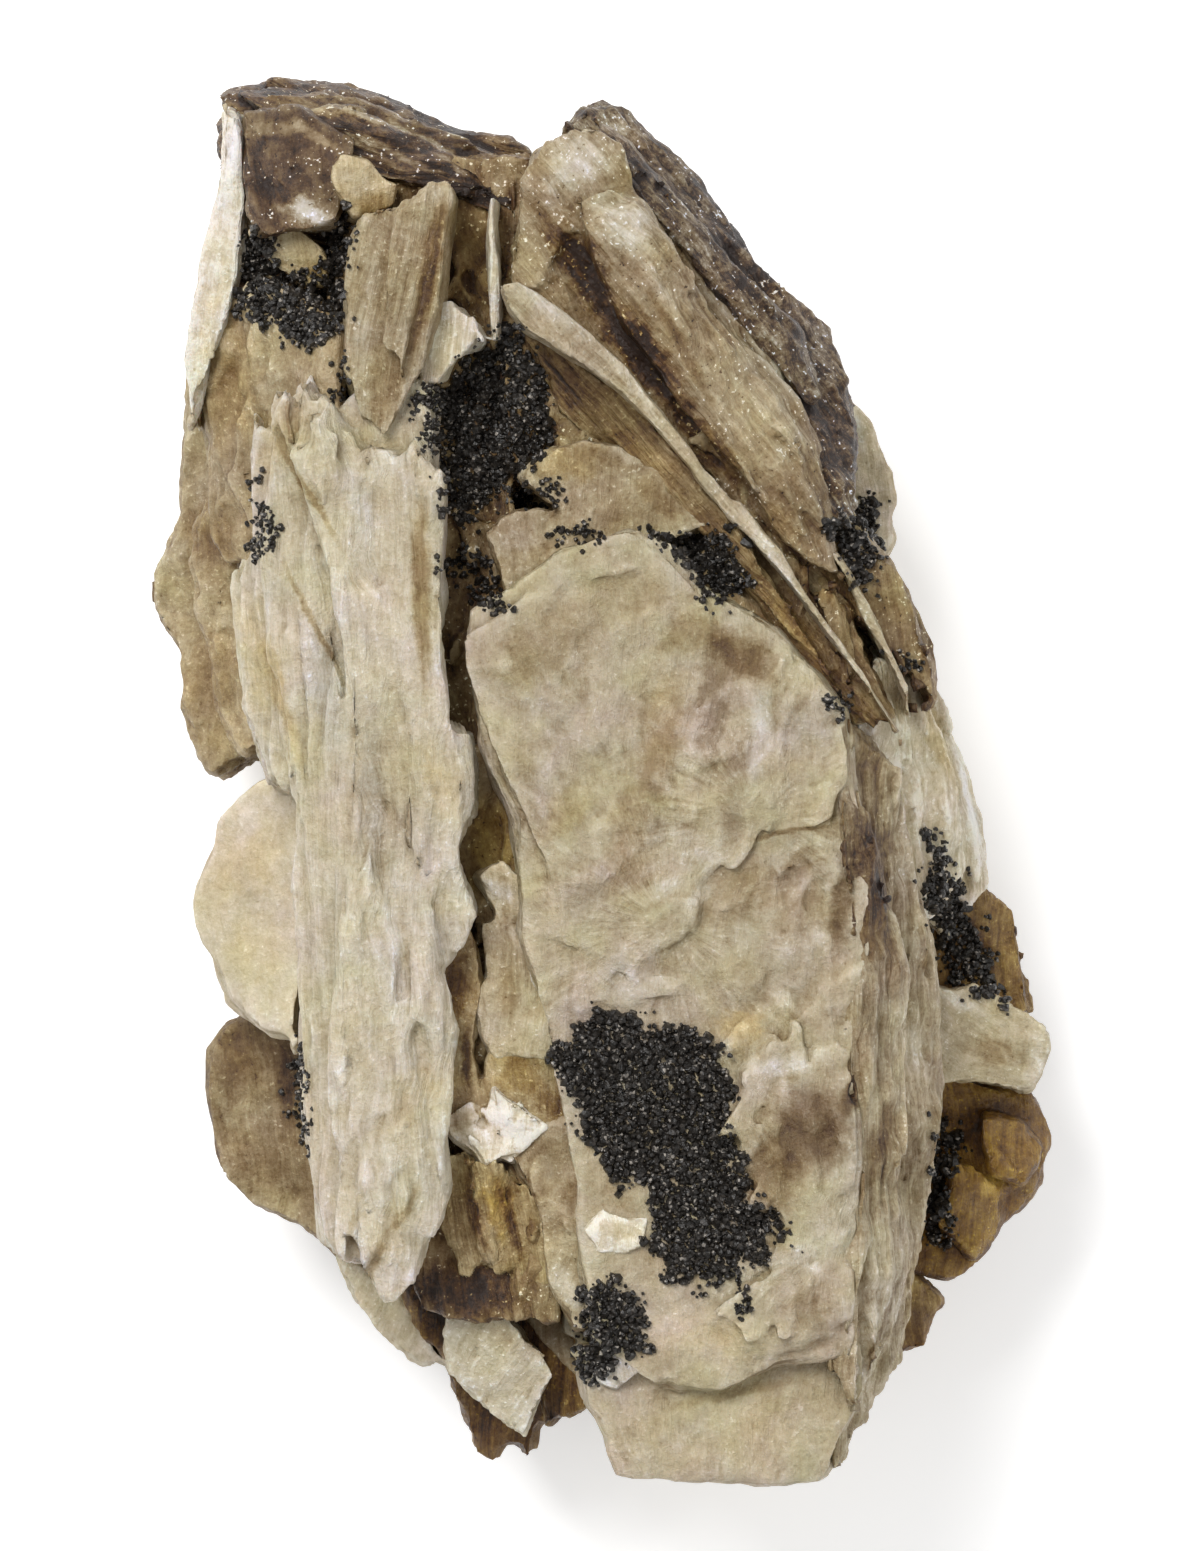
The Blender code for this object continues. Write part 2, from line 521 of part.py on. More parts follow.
def bottom_books():
    """The broken lower end: a dark hollow with rays, a pale lobe, brown spikes and a pale flake."""
    flake = [(-21, -37.6), (-16, -40), (-12.4, -46.6), (-14, -47.3), (-17.3, -44.4), (-20.5, -39.6)]
    lobe = [
        (-11.9, -42.2), (-10.3, -41), (-7.6, -42.8), (-4.4, -46), (-3.5, -48), (-4.8, -50.6),
        (-5.7, -53), (-8.5, -51.5), (-12, -47.8),
    ]
    spikes = [
        (-12.6, -44), (-12, -48), (-10.6, -52), (-10, -54.3), (-9.1, -55.6), (-8.3, -55), (-7.2, -53.8),
        (-6, -55.4), (-5.2, -54.6), (-4.8, -52.6), (-2, -51), (-1, -46), (-4, -38),
    ]
    brown = [(-6, -42), (-1, -43), (0, -47), (-0.7, -50.5), (-2, -51), (-4, -52), (-4.6, -48)]
    rays = [
        [(-12.4, -31.4), (-10.4, -30.6), (-9.4, -38.6), (-10.8, -39.4)],
        [(-9.8, -31), (-7.2, -31.2), (-6.2, -38.6), (-8.4, -39)],
        [(-7, -31), (-4.8, -34), (-4.2, -39.6), (-5.8, -39.6)],
    ]
    return [
        slab("pale_flake", flake, (11.0, 0, 0.1), (25.0, 0.3, 0.1)),
        *book("pale_lobe", lobe, (9.6, 0, -0.1), (29.6, 0.15, 0.25), 3, 0.14, (0, 1.5)),
        *book("brown_spikes", spikes, (6.8, 0, 0), (17.0, 0.1, 0.2), 2, 0.12, (0, 2.0)),
        *book("smooth_brown", brown, (5.8, 0, 0), (26.4, 0.3, 0.2), 3, 0.1, (0, 1.0)),
        slab("ray_0", rays[0], (20, 0, 0), (31.4, 0.2, 0.25)),
        slab("ray_1", rays[1], (20, 0, 0), (32.4, -0.3, 0.3)),
        slab("ray_2", rays[2], (20, 0, 0), (31.8, 0.3, 0.2)),
    ]


# ---------------------------------------------------------------- the black crusts


# Each crust: outline, plane of the mica surface that it grows in.
CRUSTS = {
    "black_crust_upper_left": (
        [(-27.6, 42.6), (-25.6, 41.4), (-23.6, 39.4), (-21.6, 41), (-21.2, 43.6), (-19.9, 43.6),
         (-20.3, 38), (-20.6, 34.6), (-24, 34.4), (-27.6, 36), (-28.2, 38.4)],
        (29.4, 0.05, 0.0),
    ),
    "black_crust_middle": (
        [(-8, 36), (-6.6, 35.6), (-6, 33), (-4.4, 30.6), (-3.6, 27), (-6.2, 24.6), (-8, 22.4),
         (-10, 20), (-12.4, 21), (-12.2, 27), (-13.4, 30), (-11, 31.4), (-9.4, 33.6)],
        (32.6, 0.05, 0.05),
    ),
    "black_crust_below_blade": (
        [(4.6, 18.4), (9, 19.2), (10.2, 18.6), (11.6, 15.4), (10.2, 13.6), (8.4, 14.6), (6, 17.6)],
        (37.0, -0.1, 0.0),
    ),
    "black_crust_right_edge": (
        [(18, 19.6), (20.4, 21), (22.2, 21.6), (22, 18.4), (21.4, 15.4), (19.4, 16.6)],
        (22.6, -0.5, 0.1),
    ),
    "black_crust_large": (
        [(-3.6, -21.6), (-1.6, -20.4), (0, -18.4), (3, -19), (7.4, -20.2), (9.4, -21.6), (10.4, -25),
         (10.4, -29), (11.6, -33), (14.4, -34.4), (15.4, -36.4), (12.6, -36.8), (11, -39),
         (8.6, -39.6), (6, -39.4), (4.4, -37), (3.8, -32.8), (1.6, -33), (-0.4, -30.4), (-2.4, -26)],
        (MAIN_FACE - 0.1, -0.04, 0.01),
    ),
    "black_crust_bottom": (
        [(-1.4, -41), (1.4, -40), (3.6, -42), (3.8, -45.4), (1, -47), (-0.5, -48.2), (-1.4, -46)],
        (35.8, 0.0, 0.05),
    ),
    "black_crust_right_band": (
        [(26.2, -4.4), (27.2, -5.2), (28.6, -8.4), (30.4, -12.2), (32.4, -18), (29.2, -16.8),
         (27.6, -14.6), (26.4, -9)],
        (18.4, -0.6, 0.05),
    ),
    "black_crust_lower_right": (
        [(27.4, -27.6), (29.2, -28.6), (28.4, -33), (27.8, -37.4), (26.4, -37), (26.6, -31)],
        (19.4, -0.6, 0.0),
    ),
}


def pocket(name, outline, surface):
    floor = (surface[0] - POCKET_DEPTH - CRUST_GAP, surface[1], surface[2])
    roof = (surface[0] + CUT_DEPTH, surface[1], surface[2])
    return slab(name + "_pocket", widened(outline, CRUST_GAP), floor, roof)


def inside(outline, x, y):
    result = False
    for i, (x1, y1) in enumerate(outline):
        x0, y0 = outline[i - 1]
        if (y0 > y) != (y1 > y) and x < x0 + (y - y0) * (x1 - x0) / (y1 - y0):
            result = not result
    return result


def grain(name, place, rng):
    """One small flat-faced crystal, leaning its own way."""
    bm = bmesh.new()
    sides = rng.choice((4, 5, 6))
    size = rng.uniform(0.8, 1.25)
    bmesh.ops.create_cone(
        bm,
        cap_ends=True,
        segments=sides,
        radius1=GRAIN_RADIUS * size * MM,
        radius2=GRAIN_RADIUS * size * 0.55 * MM,
        depth=GRAIN_LENGTH * size * MM,
    )
    turn = Matrix.Rotation(rng.uniform(0, 2 * math.pi), 4, "Z")
    tip = Matrix.Rotation(rng.uniform(0.2, 1.1), 4, "X")
    bm.transform(Matrix.Translation(Vector(place) * MM) @ turn @ tip)
    return object_from(name, bm)


def crust(name, outline, surface, rng):
    """A thin black layer in its pocket, with small crystals standing out of it."""
    middle = middle_of(outline)
    low = (surface[0] - POCKET_DEPTH, surface[1], surface[2])
    high = (low[0] + CRUST_THICKNESS, surface[1], surface[2])
    body = slab(name, widened(outline, CRUST_GAP), (low[0] - CRUST_GAP, *low[1:]), high)
    rim = slab(name + "_rim", outline, low, (high[0] + CUT_DEPTH, *high[1:]))
    core = widened(outline, -GRAIN_RADIUS / 2)
    grains = []
    xs = [x for x, _ in outline]
    ys = [y for _, y in outline]
    y = min(ys)
    while y < max(ys):
        x = min(xs) + rng.uniform(0, GRAIN_SPACING)
        while x < max(xs):
            spot = (x + rng.uniform(-0.5, 0.5), y + rng.uniform(-0.5, 0.5))
            if inside(core, *spot):
                z = height_at(high, middle, spot) - rng.uniform(0.05, 0.4)
                grains.append(grain(f"{name}_grain", (*spot, z), rng))
            x += GRAIN_SPACING
        y += GRAIN_SPACING
    boolean(body, "UNION", in_collection(name + "_grains", grains))
    boolean(body, "INTERSECT", in_collection(name + "_rim", [rim]))
    settle(body)
    remove_all([*grains, rim])
    return body


# ---------------------------------------------------------------- the specimen


def mica_cluster(pockets):
    books = [
        *lower_books(),
        *main_book(),
        *right_flank(),
        *left_slab(),
        *left_leaves(),
        *top_left_block(),
        *column(),
        *blade(),
        *upper_right_book(),
        *right_leaves(),
        *middle_shards(),
        *bottom_books(),
    ]
    first, rest = books[0], books[1:]
    half = CUT_WIDTH / 2
    corners = [(-half, -half), (half, -half), (half, half), (-half, half)]
    floor = slab("floor_cut", corners, (BELOW - CUT_DEPTH, 0, 0), (UNDERSIDE, 0, 0))
    boolean(first, "UNION", in_collection("books", rest))
    boolean(first, "DIFFERENCE", in_collection("cuts", [*pockets, floor]))
    settle(first)
    remove_all([*rest, *pockets, floor])
    first.name = "mica_cluster"
    first.data.name = "mica_cluster"
    return first


def main():
    clear_scene()
    rng = random.Random(11)
    pockets = [pocket(name, outline, surface) for name, (outline, surface) in CRUSTS.items()]
    cluster = mica_cluster(pockets)
    cluster.data.materials.clear()
    cluster.data.materials.append(material("cream mica", CREAM, 0.42))
    black = material("black crystals", BLACK, 0.35)
    for name, (outline, surface) in CRUSTS.items():
        piece = crust(name, outline, surface, rng)
        piece.data.materials.clear()
        piece.data.materials.append(black)


main()
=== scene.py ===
"""Mica crystal: the finished surfaces of a cluster of mica books with crusts of black crystals.

The specimen lies on its back, with X across it, Y along it and Z up. Places and sizes are in
millimetres until MM turns them to metres. A plane is (height at an outline's middle, rise towards
+X, rise towards +Y). A turn is three angles in degrees that take Z to the normal of a book's sheets
and Y to the direction of its fibres.
"""

import math
import random

import bpy
from mathutils import Matrix, Vector
from mathutils import noise as turbulence
from mathutils.bvhtree import BVHTree

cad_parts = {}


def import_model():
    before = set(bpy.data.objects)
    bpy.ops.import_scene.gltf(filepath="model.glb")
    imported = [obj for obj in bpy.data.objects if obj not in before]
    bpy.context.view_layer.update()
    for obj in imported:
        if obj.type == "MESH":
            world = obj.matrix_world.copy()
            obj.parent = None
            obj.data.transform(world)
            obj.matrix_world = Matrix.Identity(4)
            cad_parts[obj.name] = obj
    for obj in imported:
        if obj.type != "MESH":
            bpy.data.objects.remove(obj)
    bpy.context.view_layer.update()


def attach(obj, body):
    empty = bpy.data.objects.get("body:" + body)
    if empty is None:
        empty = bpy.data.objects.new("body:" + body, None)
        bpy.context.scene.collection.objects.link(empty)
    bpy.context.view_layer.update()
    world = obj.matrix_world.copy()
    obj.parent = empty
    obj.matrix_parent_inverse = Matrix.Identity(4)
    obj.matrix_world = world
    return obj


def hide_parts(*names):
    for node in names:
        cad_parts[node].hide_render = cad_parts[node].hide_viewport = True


MM = 0.001

MAIN_FACE = 38.0  # height of the wide cleavage face on the right
LEFT_SLAB = 40.5  # height of the long slab on the left
RIDGE_TOP = 43.6  # height of the thin blade that crosses the specimen
MIDDLE = 25.0  # where the upper books grow out of the lower ones

LEAF_OVERLAP = 0.35  # how far a leaf of a book reaches down into the one below it
LEAF_FOOT = 0.985  # size of a leaf's underside beside its top
LEAF_UNEVEN = 0.22  # how far the joints between a book's leaves stray, in leaves
LEAF_TURN = 1.6  # degrees that a leaf may be turned from the top one

VOXEL = 0.36  # fineness of a remeshed surface
BACK_VOXEL = 0.7  # the same for the back books
KEPT_FACES = 0.55  # of the faces that the remesh makes
SAME_HEIGHT = 0.001  # corners this close in height belong to one ring

PLATE_TOP = 0.86  # size of a plate's top beside its underside
END_DROP = 1.4  # how far the surface may fall away under a plate's end
STEEPEST = 0.25  # least upward part of the normal of a surface that carries plates
SEARCH_FROM = 0.1  # metres; well above the specimen, where searches for its surface start

WIDE_PATCH = 1.3  # a patch of colour wider than this gets a torn rim
WARMING = (0.04, -0.014, -0.17)  # what one step of warmth does to red, green and blue
GREENING = (-0.45, 0.14, -1.7)  # the same for the change from pinkish to greenish

BATCH = 250  # grains that are joined at a time
GRAIN_HEIGHT = 1.3  # of a crystal one unit in radius, up to its shoulder
GRAIN_TIP = 0.5  # height of its tip above the shoulder
GRAIN_LEAN = 0.1  # how far its tip leans over

CAMERA_HEIGHT = 0.887  # metres above the floor
LENS = 250
SENSOR = 36
FLOOR_SIZE = 3.0


# ---------------------------------------------------------------- drawing and cutting


def only(*objects):
    """Selects these objects and nothing else."""
    bpy.ops.object.select_all(action="DESELECT")
    for obj in objects:
        obj.select_set(True)
    bpy.context.view_layer.objects.active = objects[0]


def middle_of(outline):
    xs = [x for x, _ in outline]
    ys = [y for _, y in outline]
    return sum(xs) / len(xs), sum(ys) / len(ys)


def height_at(plane, middle, point):
    height, east, north = plane
    return height + east * (point[0] - middle[0]) + north * (point[1] - middle[1])


def moved(outline, grow=1.0, turn=0.0, shift=(0.0, 0.0)):
    """The outline scaled by grow and turned by turn degrees about its middle, then shifted."""
    cx, cy = middle_of(outline)
    c, s = math.cos(math.radians(turn)) * grow, math.sin(math.radians(turn)) * grow
    return [
        (
            cx + c * (x - cx) - s * (y - cy) + shift[0],
            cy + s * (x - cx) + c * (y - cy) + shift[1],
        )
        for x, y in outline
    ]


def inside(outline, x, y):
    result = False
    for i, (x1, y1) in enumerate(outline):
        x0, y0 = outline[i - 1]
        if (y0 > y) != (y1 > y) and x < x0 + (y - y0) * (x1 - x0) / (y1 - y0):
            result = not result
    return result


def trace(outline, height, cuts=0, ragged=0.0, seed=0):
    """Draws an outline corner by corner and fills it; it is left in edit mode, all selected."""
    bpy.ops.object.select_all(action="DESELECT")
    x, y = outline[0]
    bpy.ops.mesh.primitive_plane_add(size=MM, location=(x * MM, y * MM, height * MM))
    bpy.ops.object.transform_apply()
    bpy.ops.object.mode_set(mode="EDIT")
    bpy.ops.mesh.select_all(action="SELECT")
    bpy.ops.mesh.merge(type="CENTER")
    for before, after in zip(outline, outline[1:] + outline[:1]):
        step = ((after[0] - before[0]) * MM, (after[1] - before[1]) * MM, 0)
        bpy.ops.mesh.extrude_vertices_move(TRANSFORM_OT_translate={"value": step})
    bpy.ops.mesh.select_all(action="SELECT")
    bpy.ops.mesh.remove_doubles(threshold=0.01 * MM)
    if cuts:
        bpy.ops.mesh.subdivide(number_cuts=cuts, fractal=ragged, seed=seed)
        bpy.ops.transform.resize(value=(1, 1, 0), center_override=(0, 0, height * MM))
    bpy.ops.mesh.edge_face_add()
    return bpy.context.object


def prism(obj, high, low, ring):
    """Gives a filled outline its depth, from high down to low, and selects its corners at ring.

    The modifier makes the same faces in the same order in every run, which an extrude does not,
    and the cuts and the remesh that follow depend on that order in their last digits.
    """
    bpy.ops.object.mode_set(mode="OBJECT")
    only(obj)
    depth = obj.modifiers.new("Depth", "SOLIDIFY")
    depth.thickness = (high - low) * MM
    depth.offset = -1.0 if obj.data.polygons[0].normal.z > 0 else 1.0
    bpy.ops.object.modifier_apply(modifier=depth.name)
    for part in (*obj.data.polygons, *obj.data.edges):
        part.select = False
    for corner in obj.data.vertices:
        corner.select = abs(corner.co.z - ring * MM) < SAME_HEIGHT * MM
    bpy.ops.object.mode_set(mode="EDIT")
    bpy.ops.mesh.select_mode(type="VERT")


def slab(name, outline, bottom, top, lean=(0.0, 0.0), foot=1.0, cuts=2, ragged=2.5):
    """A slab of one outline between two planes; lean and foot move and size its underside.

    Its name and height seed the ragged outline, so each slab is ragged in its own way.
    """
    middle = middle_of(outline)
    low = min(height_at(bottom, middle, point) for point in outline)
    high = max(height_at(top, middle, point) for point in outline)
    obj = trace(outline, high, cuts, ragged, len(name) * 7 + int(abs(top[0]) * 3))
    obj.name = name
    prism(obj, high, low, low)
    bpy.ops.transform.translate(value=(lean[0] * MM, lean[1] * MM, 0))
    if foot != 1.0:
        centre = ((middle[0] + lean[0]) * MM, (middle[1] + lean[1]) * MM, low * MM)
        bpy.ops.transform.resize(value=(foot, foot, 1), center_override=centre)
    bpy.ops.mesh.select_all(action="SELECT")
    bpy.ops.mesh.normals_make_consistent(inside=False)
    for plane, keep_below in ((top, True), (bottom, False)):
        if plane[1] or plane[2]:
            bpy.ops.mesh.select_all(action="SELECT")
            bpy.ops.mesh.bisect(
                plane_co=(middle[0] * MM, middle[1] * MM, plane[0] * MM),
                plane_no=(-plane[1], -plane[2], 1),
                use_fill=True,
                clear_outer=keep_below,
                clear_inner=not keep_below,
            )
    bpy.ops.object.mode_set(mode="OBJECT")
    return obj


def book(name, outline, bottom, top, leaves, ragged=0.05, drift=(0.0, 0.0)):
    """A book split in leaves of uneven thickness, whose edges step in and out down its sides.

    ragged is how far the leaves' sizes differ, and drift moves the lowest one sideways.
    """
    rng = random.Random(name)
    cuts = [(i + rng.uniform(-LEAF_UNEVEN, LEAF_UNEVEN)) / leaves for i in range(leaves + 1)]
    cuts[0], cuts[-1] = 0.0, 1.0
    slabs = []
    for i in range(leaves):
        planes = []
        for part in (cuts[i], cuts[i + 1]):
            planes.append(tuple(b + (t - b) * part for b, t in zip(bottom, top)))
        under = (planes[0][0] - LEAF_OVERLAP, *planes[0][1:]) if i else planes[0]
        depth = 1.0 - (cuts[i] + cuts[i + 1]) / 2 if i < leaves - 1 else 0.0
        size = 1.0 - (rng.uniform(0.2, 1.0) * ragged if i < leaves - 1 else 0.0)
        turn = rng.uniform(-LEAF_TURN, LEAF_TURN) if i < leaves - 1 else 0.0
        shape = moved(outline, size, turn, (drift[0] * depth, drift[1] * depth))
        slabs.append(slab(f"{name}_{i}", shape, under, planes[1], foot=LEAF_FOOT))
    return slabs


def row(name, outlines, bottom, tops):
    """Slabs that share a bottom plane, each with its own outline and top plane."""
    slabs = []
    for i, (outline, top) in enumerate(zip(outlines, tops)):
        slabs.append(slab(f"{name}_{i}", outline, bottom, top))
    return slabs


def joined(name, parts):
    """Joins parts as one object; the first of them lends it its place."""
    only(*parts)
    if len(parts) > 1:
        bpy.ops.object.join()
    obj = bpy.context.object
    obj.name = name
    obj.data.name = name
    return obj


def skin(obj, voxel, soften):
    """Remeshes a piece as one skin and rounds its edges a little."""
    only(obj)
    remesh = obj.modifiers.new("Skin", "REMESH")
    remesh.mode = "VOXEL"
    remesh.voxel_size = voxel * MM
    remesh.use_smooth_shade = True
    bpy.ops.object.modifier_apply(modifier=remesh.name)
    wear = obj.modifiers.new("Wear", "SMOOTH")
    wear.factor = 0.5
    wear.iterations = soften
    bpy.ops.object.modifier_apply(modifier=wear.name)


def thinned(obj, kept):
    """Merges faces where a surface is nearly flat until this part of them is left."""
    thin = obj.modifiers.new("Thin", "DECIMATE")
    thin.ratio = kept
    bpy.ops.object.modifier_apply(modifier=thin.name)


PLATES = (
    [
        (-0.5, 0.02), (-0.34, 0.3), (-0.05, 0.48), (0.26, 0.36), (0.5, 0.06), (0.3, -0.3),
        (-0.1, -0.46), (-0.36, -0.26)
    ],
    [
        (-0.5, -0.1), (-0.42, 0.28), (-0.1, 0.42), (0.2, 0.5), (0.42, 0.2), (0.5, -0.16), (0.2, -0.42),
        (-0.24, -0.5)
    ],
    [(-0.5, 0.12), (-0.2, 0.3), (0.2, 0.44), (0.5, 0.0), (0.24, -0.34), (0.0, -0.28), (-0.3, -0.42)],
    [
        (-0.5, -0.06), (-0.3, 0.36), (0.02, 0.3), (0.3, 0.5), (0.46, 0.26), (0.38, -0.06), (0.5, -0.3),
        (0.1, -0.5), (-0.28, -0.4)
    ],
)


def plate_shapes():
    """Thin plates, one unit long, wide and thick, whose tops are a little smaller."""
    shapes = []
    for outline in PLATES:
        shape = trace(outline, 1)
        prism(shape, 1, 0, 1)
        bpy.ops.transform.resize(value=(PLATE_TOP, PLATE_TOP, 1), center_override=(0, 0, MM))
        bpy.ops.mesh.select_all(action="SELECT")
        bpy.ops.mesh.normals_make_consistent(inside=False)
        bpy.ops.object.mode_set(mode="OBJECT")
        shapes.append(shape)
    return shapes


def surface(obj):
    """A search tree of an object's faces."""
    return BVHTree.FromObject(obj, bpy.context.evaluated_depsgraph_get())


def highest(trees, x, y):
    """The highest point of the surfaces above (x, y), in metres, and the normal there."""
    best = None
    for tree in trees:
        at, normal, _, _ = tree.ray_cast(Vector((x * MM, y * MM, SEARCH_FROM)), Vector((0, 0, -1)))
        if at and (best is None or at.z > best[0].z):
            best = (at, normal)
    return best


def copy_at(shape, place):
    copy = shape.copy()
    copy.data = shape.data.copy()
    copy.matrix_world = place
    bpy.context.scene.collection.objects.link(copy)
    return copy


def plates(rng, shapes, trees, region, count, angle, size, wander, tilt, sunk=0.5):
    """Plates that lie half sunk on a surface and all point roughly one way.

    size is (shortest, longest, narrowest, widest, thinnest, thickest).
    """
    xs = [x for x, _ in region]
    ys = [y for _, y in region]
    copies = []
    for _ in range(count * 8):
        x, y = rng.uniform(min(xs), max(xs)), rng.uniform(min(ys), max(ys))
        found = highest(trees, x, y) if inside(region, x, y) else None
        if found is None or found[1].z < STEEPEST:
            continue
        at, normal = found
        long, wide, thick = (rng.uniform(size[i], size[i + 1]) for i in (0, 2, 4))
        way = math.radians(angle + rng.gauss(0, wander))
        heading = Vector((math.cos(way), math.sin(way), 0))
        heading = (heading - normal * heading.dot(normal)).normalized()
        ends = [at + heading * long * part * MM for part in (-0.5, 0.5)]
        under = [highest(trees, end.x / MM, end.y / MM) for end in ends]
        if any(hit is None or abs(hit[0].z - end.z) > END_DROP * MM for hit, end in zip(under, ends)):
            continue
        pitch = Matrix.Rotation(math.radians(rng.gauss(0, tilt)), 3, normal.cross(heading))
        roll = Matrix.Rotation(math.radians(rng.gauss(0, tilt * 2)), 3, heading)
        up = (roll @ pitch @ normal).normalized()
        heading = (roll @ pitch @ heading).normalized()
        basis = Matrix((heading * long, up.cross(heading) * wide, up * thick)).transposed()
        place = Matrix.Translation(at - normal * thick * sunk * MM) @ basis.to_4x4()
        copies.append(copy_at(rng.choice(shapes), place))
        if len(copies) == count:
            break
    return copies


def ripple(obj, strength, lengths, turn=(0, 0, 0), shift=0.0, hard=False, way="NORMAL"):
    """Pushes a surface in and out, or along X or Y, by a noise whose lumps have these three lengths."""
    noise = bpy.data.textures.new("ripple", "CLOUDS")
    noise.noise_scale = 1.0
    noise.noise_depth = 2
    noise.noise_type = "HARD_NOISE" if hard else "SOFT_NOISE"
    bpy.ops.object.empty_add(location=(shift * MM, shift * MM, shift * MM))
    guide = bpy.context.object
    guide.rotation_euler = [math.radians(angle) for angle in turn]
    guide.scale = [length * MM for length in lengths]
    only(obj)
    push = obj.modifiers.new("Ripple", "DISPLACE")
    push.texture = noise
    push.texture_coords = "OBJECT"
    push.texture_coords_object = guide
    push.direction = way
    push.strength = strength * MM
    bpy.ops.object.modifier_apply(modifier=push.name)
    bpy.data.objects.remove(guide)
    bpy.data.textures.remove(noise)


def weather(
    obj, turn=(0, 0, 0), sheets=1.0, lumps=0.8, grit=0.35, fibres=0.0, shift=0.0, lump=8, ledges=1.0
):
    """The relief of a broken book: its sheets' ends, broad lumps, fibres and fine grit.

    Ledges slide the sheets past each other, which leaves their faces smooth and their ends broken.
    """
    if ledges:
        ripple(obj, ledges, (14, 14, 1.3), turn, shift + 41, way="X")
        ripple(obj, ledges * 1.2, (14, 14, 1.0), turn, shift + 53, way="Y")
    if lumps:
        ripple(obj, lumps, (lump, lump, lump * 0.9), turn, shift + 31)
    if sheets:
        ripple(obj, sheets, (11, 11, 2.4), turn, shift + 7)
        ripple(obj, sheets * 0.7, (7, 7, 0.9), turn, shift + 17, hard=True)
    if fibres:
        ripple(obj, fibres, (1.6, 14, 5), turn, shift + 3)
        ripple(obj, fibres * 0.6, (0.8, 9, 3), turn, shift + 13, hard=True)
    if grit:
        ripple(obj, grit, (1.5, 1.5, 0.8), turn, shift + 23)


# ---------------------------------------------------------------- materials


def linear(rgb):
    """A colour given as three numbers from 0 to 255, in the shader's linear values."""
    values = [c / 255 for c in rgb]
    curved = [c / 12.92 if c <= 0.04045 else ((c + 0.055) / 1.055) ** 2.4 for c in values]
    return (*curved, 1.0)


def node(tree, kind, inputs=None, **settings):
    made = tree.nodes.new("ShaderNode" + kind)
    for key, value in settings.items():
        setattr(made, key, value)
    for key, value in (inputs or {}).items():
        socket = made.inputs[key]
        if isinstance(value, bpy.types.NodeSocket):
            tree.links.new(value, socket)
        else:
            socket.default_value = value
    return made


def maths(tree, operation, a, b=0.0):
    return node(tree, "Math", {0: a, 1: b}, operation=operation).outputs[0]


def weigh(tree, total, value, weight, middle=0.5):
    """Adds (value - middle) x weight to a running total."""
    scaled = node(tree, "Math", {0: value, 1: weight, 2: -middle * weight}, operation="MULTIPLY_ADD")
    return maths(tree, "ADD", total, scaled.outputs[0])


def noise(tree, vector, scale, detail=3.0, rough=0.6):
    made = node(
        tree,
        "TexNoise",
        {"Vector": vector, "Scale": scale, "Detail": detail, "Roughness": rough},
    )
    return made.outputs["Fac"]


def ramp(tree, value, stops):
    made = node(tree, "ValToRGB", {"Fac": value})
    elements = made.color_ramp.elements
    elements[0].position, elements[0].color = stops[0]
    elements[1].position, elements[1].color = stops[-1]
    for position, colour in stops[1:-1]:
        elements.new(position).color = colour
    return made.outputs["Color"]


def between(tree, value, low, high):
    """0 below low, 1 above high, and smooth from one to the other."""
    made = node(
        tree,
        "MapRange",
        {"Value": value, "From Min": low, "From Max": high},
        interpolation_type="SMOOTHSTEP",
    )
    return made.outputs["Result"]


def spread(tree, vector, x, y, long, wide, angle):
    """A soft patch: 1 in the middle of an ellipse and 0 outside it."""
    spot = node(
        tree,
        "Mapping",
        {
            "Vector": vector,
            "Location": (x, y, 0),
            "Rotation": (0, 0, math.radians(angle)),
            "Scale": (long, wide, 1000),
        },
        vector_type="TEXTURE",
    )
    far = node(tree, "VectorMath", {0: spot.outputs[0]}, operation="LENGTH").outputs["Value"]
    return between(tree, far, 1.15, 0.3)


def plume(tree, vector, x, y, reach, strands):
    """Strands that run out from one point, as in a feather."""
    spoke = node(tree, "Mapping", {"Vector": vector, "Location": (x, y, 0)}, vector_type="TEXTURE")
    level = node(tree, "VectorMath", {0: spoke.outputs[0], 1: (1, 1, 0)}, operation="MULTIPLY")
    far = node(tree, "VectorMath", {0: level.outputs[0]}, operation="LENGTH").outputs["Value"]
    way = node(tree, "VectorMath", {0: level.outputs[0]}, operation="NORMALIZE").outputs[0]
    depth = node(tree, "CombineXYZ", {2: maths(tree, "MULTIPLY", far, 0.34)}).outputs[0]
    fan = node(
        tree, "VectorMath", {0: way, 1: (strands, strands, 1), 2: depth}, operation="MULTIPLY_ADD"
    )
    streak = maths(tree, "SUBTRACT", noise(tree, fan.outputs[0], 1.0, 4.0, 0.65), 0.5)
    near = maths(tree, "MULTIPLY", between(tree, far, reach, reach * 0.4), between(tree, far, 0.5, 4.0))
    shown = between(tree, noise(tree, vector, 0.3, 2.0, 0.6), 0.36, 0.62)
    return maths(tree, "MULTIPLY", streak, maths(tree, "MULTIPLY", near, shown))


# Mica from its darkest brown to its palest cream; a finish's level is a place along it.
TONES = [
    (0.00, (36, 20, 9)),
    (0.15, (76, 51, 27)),
    (0.33, (115, 92, 58)),
    (0.52, (151, 133, 101)),
    (0.72, (187, 173, 144)),
    (0.88, (211, 199, 176)),
    (1.00, (233, 227, 214)),
]


